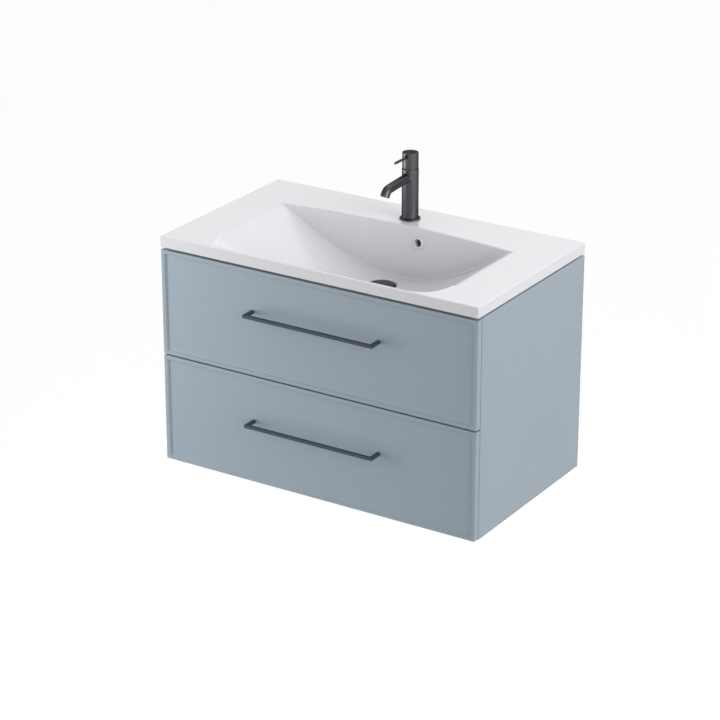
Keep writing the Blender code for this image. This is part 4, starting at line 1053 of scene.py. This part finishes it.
def make_overflow_ring(look):
    """The domed ring round the overflow hole, with the sleeve behind it."""
    mouth, way = overflow_mouth()
    ring = lathe("overflow_rim", rounded([
        (0.0088, -0.010), (0.0088, 0.0022), (0.0100, 0.0032), (0.0118, 0.0032), (0.0136, 0.0022),
        (0.0140, 0.0004), (0.0102, 0.0004), (0.0102, -0.010),
    ], 0.0006, 3), mouth)
    place(turn_to(ring, mouth, way), "overflow_ring", look)


def make_waste_clamp(looks):
    """The rubber washer and the ribbed nut that clamp the waste from below."""
    section = soft_ring("waste_washer", WASTE_CLEARANCE, 0.0012, 4)
    place(lathe("waste_rubber_washer", section, WASTE_CENTRE), "waste_washer", looks["rubber"])
    section = soft_ring("waste_nut", WASTE_CLEARANCE, 0.0006, 3)
    place(ribbed("waste_ribbed_nut", section, WASTE_CENTRE, 0.024, 24), "waste_nut", looks["trap_plastic"])


def ribbed(name, profile, centre, from_radius, ribs):
    """A turned piece whose outside, beyond a radius, is fluted into grip ribs."""
    piece = lathe(name, profile, centre, ribs * 8)
    for vertex in piece.data.vertices:
        x, y = vertex.co.x - centre[0], vertex.co.y - centre[1]
        radius = math.hypot(x, y)
        if radius > from_radius:
            wave = 0.5 - 0.5 * math.cos(ribs * math.atan2(y, x))
            share = 1 - RIB_DEPTH * wave ** 2 / radius
            vertex.co.x, vertex.co.y = centre[0] + x * share, centre[1] + y * share
    return piece


def make_trap_inlet(look):
    """Ribbed coupling nut under the waste and the dip tube that hangs in the trap."""
    narrow, wide = PIPE_CLEARANCE, WASTE_CLEARANCE
    coupling = ribbed("trap_ribbed_coupling", rounded([
        (narrow, -0.106), (0.0245, -0.106), (0.0262, -0.103), (0.0262, -0.082), (wide, -0.082),
        (wide, -0.0885), (narrow, -0.0885),
    ], 0.0006, 3), WASTE_CENTRE, 0.0240, 20)
    place(coupling, "trap_coupling_nut", look)
    section = ring_section(PIPE_BORE, PIPE_RADIUS, -0.180, -0.0865)
    place(lathe("trap_inner_tube", section, WASTE_CENTRE), "trap_dip_tube", look)


def make_trap_body(look):
    """The trap's bottle with its spigot towards the wall."""
    narrow = PIPE_CLEARANCE
    body = lathe("trap_bottle", rounded([
        (narrow, -0.1075), (0.0240, -0.1075), (0.0240, -0.1230), (0.0310, -0.1310), (0.0310, -0.1660),
        (0.0280, -0.1660), (0.0280, -0.1340), (narrow, -0.1270),
    ], 0.0020, 4), WASTE_CENTRE, 96)
    spigot = lathe("spigot", rounded(ring_section(0, 0.0190, 0.0285, 0.0520), 0.0006, 3), TRAP_OUTLET)
    hole = drill("spigot_hole", narrow, 0.0200, 0.0600, TRAP_OUTLET)
    join(body, turn_to(spigot, TRAP_OUTLET, BACKWARDS))
    cut(body, turn_to(hole, TRAP_OUTLET, BACKWARDS))
    even_normals(body)
    place(body, "trap_body", look)


def make_trap_cup(look):
    """The ribbed cup that unscrews from the bottle for cleaning."""
    cup = ribbed("trap_ribbed_cup", rounded([
        (0, -0.2080), (0.0180, -0.2080), (0.0265, -0.2030), (0.0300, -0.1950), (0.0300, -0.1663),
        (0.0277, -0.1663), (0.0277, -0.1616), (0.0252, -0.1616), (0.0252, -0.1930), (0.0150, -0.2040),
        (0, -0.2050),
    ], 0.0009, 3), WASTE_CENTRE, 0.0285, 24)
    place(cup, "trap_cup", look)


def make_trap_outlet(look):
    """Ribbed outlet nut, outlet pipe and the collar on the wall."""
    narrow, wall = PIPE_CLEARANCE, WALL_REACH
    nut = ribbed("outlet_ribbed_nut", rounded([
        (narrow, 0.066), (0.0235, 0.066), (0.0250, 0.063), (0.0250, 0.045), (0.0193, 0.045),
        (0.0193, 0.0525), (narrow, 0.0525),
    ], 0.0006, 3), TRAP_OUTLET, 0.0232, 20)
    pipe = lathe("outlet_pipe_tube", ring_section(PIPE_BORE, PIPE_RADIUS, 0.054, wall), TRAP_OUTLET)
    collar = lathe("wall_collar", rounded([
        (narrow, wall), (narrow, wall - 0.009), (0.0200, wall - 0.009), (0.0290, wall - 0.006),
        (0.0350, wall - 0.001), (0.0350, wall),
    ], 0.0012, 4), TRAP_OUTLET, 96)
    for piece, node in ((nut, "trap_outlet_nut"), (pipe, "trap_outlet_pipe"), (collar, "wall_escutcheon")):
        place(turn_to(piece, TRAP_OUTLET, BACKWARDS), node, look)


# ---------------------------------------------------------------- pieces kept from the CAD, and screws
def dress_cad_nodes(looks):
    """Materials for the CAD nodes that still show, with their sharp edges eased."""
    for name, node in frame["nodes"].items():
        if node.hide_render:
            continue
        node.data.materials.clear()
        node.data.materials.append(looks[NODE_SLOT[name]])
        weld = node.modifiers.new("weld", "WELD")
        weld.merge_threshold = 0.00001
        soften(node, CAD_EDGES.get(name, CAD_ROUND))


def handle_screw(name, x, y, z):
    """A pan-head screw with a cross recess, seen from behind a front."""
    spot = (x, y, z)
    head = lathe(name, [
        (0, 0), (0.0044, 0), (0.0045, 0.0004), (0.0042, 0.0013), (0.0034, 0.0021), (0.0020, 0.0026),
        (0, 0.0027),
    ], spot, 40)
    arm, half_slot, low, high = 0.0024, 0.0004, z + 0.0012, z + 0.004
    cross_a = block("cross_a", (x - arm, y - half_slot, low), (x + arm, y + half_slot, high))
    cross_b = block("cross_b", (x - half_slot, y - arm, low), (x + half_slot, y + arm, high))
    cut(head, cross_a, cross_b)
    return turn_to(head, spot, BACKWARDS)


def make_handle_screws(looks):
    """The screws that hold the handles, on the backs of the fronts."""
    for part in ("upper", "lower"):
        back_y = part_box(f"{part}_front")[1].y + 0.0001
        low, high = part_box(f"{part}_handle")
        bar = high.z - low.z
        for side, x in (("left", low.x + bar / 2), ("right", high.x - bar / 2)):
            screw = handle_screw(f"{part}_handle_screw_{side}", x, back_y, (low.z + high.z) / 2)
            add(screw, f"{part}_handle", looks["zinc_steel"])


# ---------------------------------------------------------------- stage
def add_aimed(name, data, way):
    """A light or camera that looks along a direction."""
    made = bpy.data.objects.new(name, data)
    made.rotation_euler = way.to_track_quat("-Z", "Y").to_euler()
    bpy.context.scene.collection.objects.link(made)
    return made


def soft_box(name, spot, target, size, power):
    """A soft rectangular light aimed at a point."""
    light = bpy.data.lights.new(name, "AREA")
    light.shape = "RECTANGLE"
    light.size, light.size_y = size
    light.energy = power
    lamp = add_aimed(name, light, Vector(target) - Vector(spot))
    lamp.location = spot
    lamp.visible_camera = False


def broad_light(name, comes_from, spread, strength):
    """A very wide, even light from one side, given by a direction and the angle it fills."""
    light = bpy.data.lights.new(name, "SUN")
    light.angle = math.radians(spread)
    light.energy = strength
    add_aimed(name, light, -Vector(comes_from))


def make_floor():
    """A plain pale floor with the faintest mottling, far below the hung cabinet."""
    mesh_data = bmesh.new()
    bmesh.ops.create_grid(mesh_data, x_segments=8, y_segments=8, size=FLOOR_HALF_SIZE)
    bmesh.ops.translate(mesh_data, vec=(0, 0, FLOOR_Z), verts=mesh_data.verts)
    floor = finish_mesh("studio_floor", mesh_data)
    graph = Graph("studio_floor_paint")
    colour = graph.blend(graph.patches(1.5, 2.0), shade(FLOOR_COLOUR, 0.998), FLOOR_COLOUR)
    paint = graph.finish(Base_Color=colour, Roughness=0.95, Specular_IOR_Level=0.0,
                         Emission_Color=(1.0, 1.0, 1.0, 1.0), Emission_Strength=FLOOR_GLOW)
    floor.data.materials.append(paint)
    floor.visible_diffuse = False


def make_camera():
    """The camera of the reference picture."""
    data = bpy.data.cameras.new("camera")
    data.sensor_width = 36.0
    data.lens = CAMERA_LENS
    data.clip_end = CAMERA_REACH
    camera = add_aimed("camera", data, Vector(CAMERA_TARGET) - Vector(CAMERA_PLACE))
    camera.location = CAMERA_PLACE
    bpy.context.scene.camera = camera


def make_stage():
    """Floor, faint even world, broad lights, soft boxes and the camera."""
    make_floor()
    world = bpy.data.worlds.new("studio_world")
    bpy.context.scene.world = world
    world.use_nodes = True
    background = world.node_tree.nodes["Background"]
    background.inputs["Color"].default_value = (1.0, 1.0, 1.0, 1.0)
    background.inputs["Strength"].default_value = WORLD_STRENGTH
    for name, comes_from, spread, strength in BROAD_LIGHTS:
        broad_light(name, comes_from, spread, strength)
    for name, spot, target, size, power in SOFT_BOXES:
        soft_box(name, spot, target, size, power)
    bpy.context.scene.view_settings.view_transform = "Standard"
    make_camera()


# ---------------------------------------------------------------- build
def main():
    """Make every piece in its look, dress what stays of the CAD, and set the stage."""
    looks = make_looks()
    make_basin(looks["ceramic"])
    for node in ("upper_front", "lower_front"):
        make_front(node, looks["lacquer"])
    for node in ("upper_handle", "lower_handle"):
        make_handle(node, looks["handle_metal"])
    mouth, way = make_tap_body(looks["gunmetal"])
    make_tap_rings(looks)
    make_aerator(looks, mouth, way)
    make_cartridge(looks["cartridge_plastic"])
    make_tap_head(looks["gunmetal"])
    make_lever(looks["gunmetal"])
    make_tap_fixing(looks)
    make_waste(looks["waste_metal"])
    make_plug(looks["waste_metal"])
    make_overflow_ring(looks["ceramic"])
    make_waste_clamp(looks)
    for make in (make_trap_inlet, make_trap_body, make_trap_cup, make_trap_outlet):
        make(looks["trap_plastic"])
    make_handle_screws(looks)
    dress_cad_nodes(looks)
    make_stage()


main()
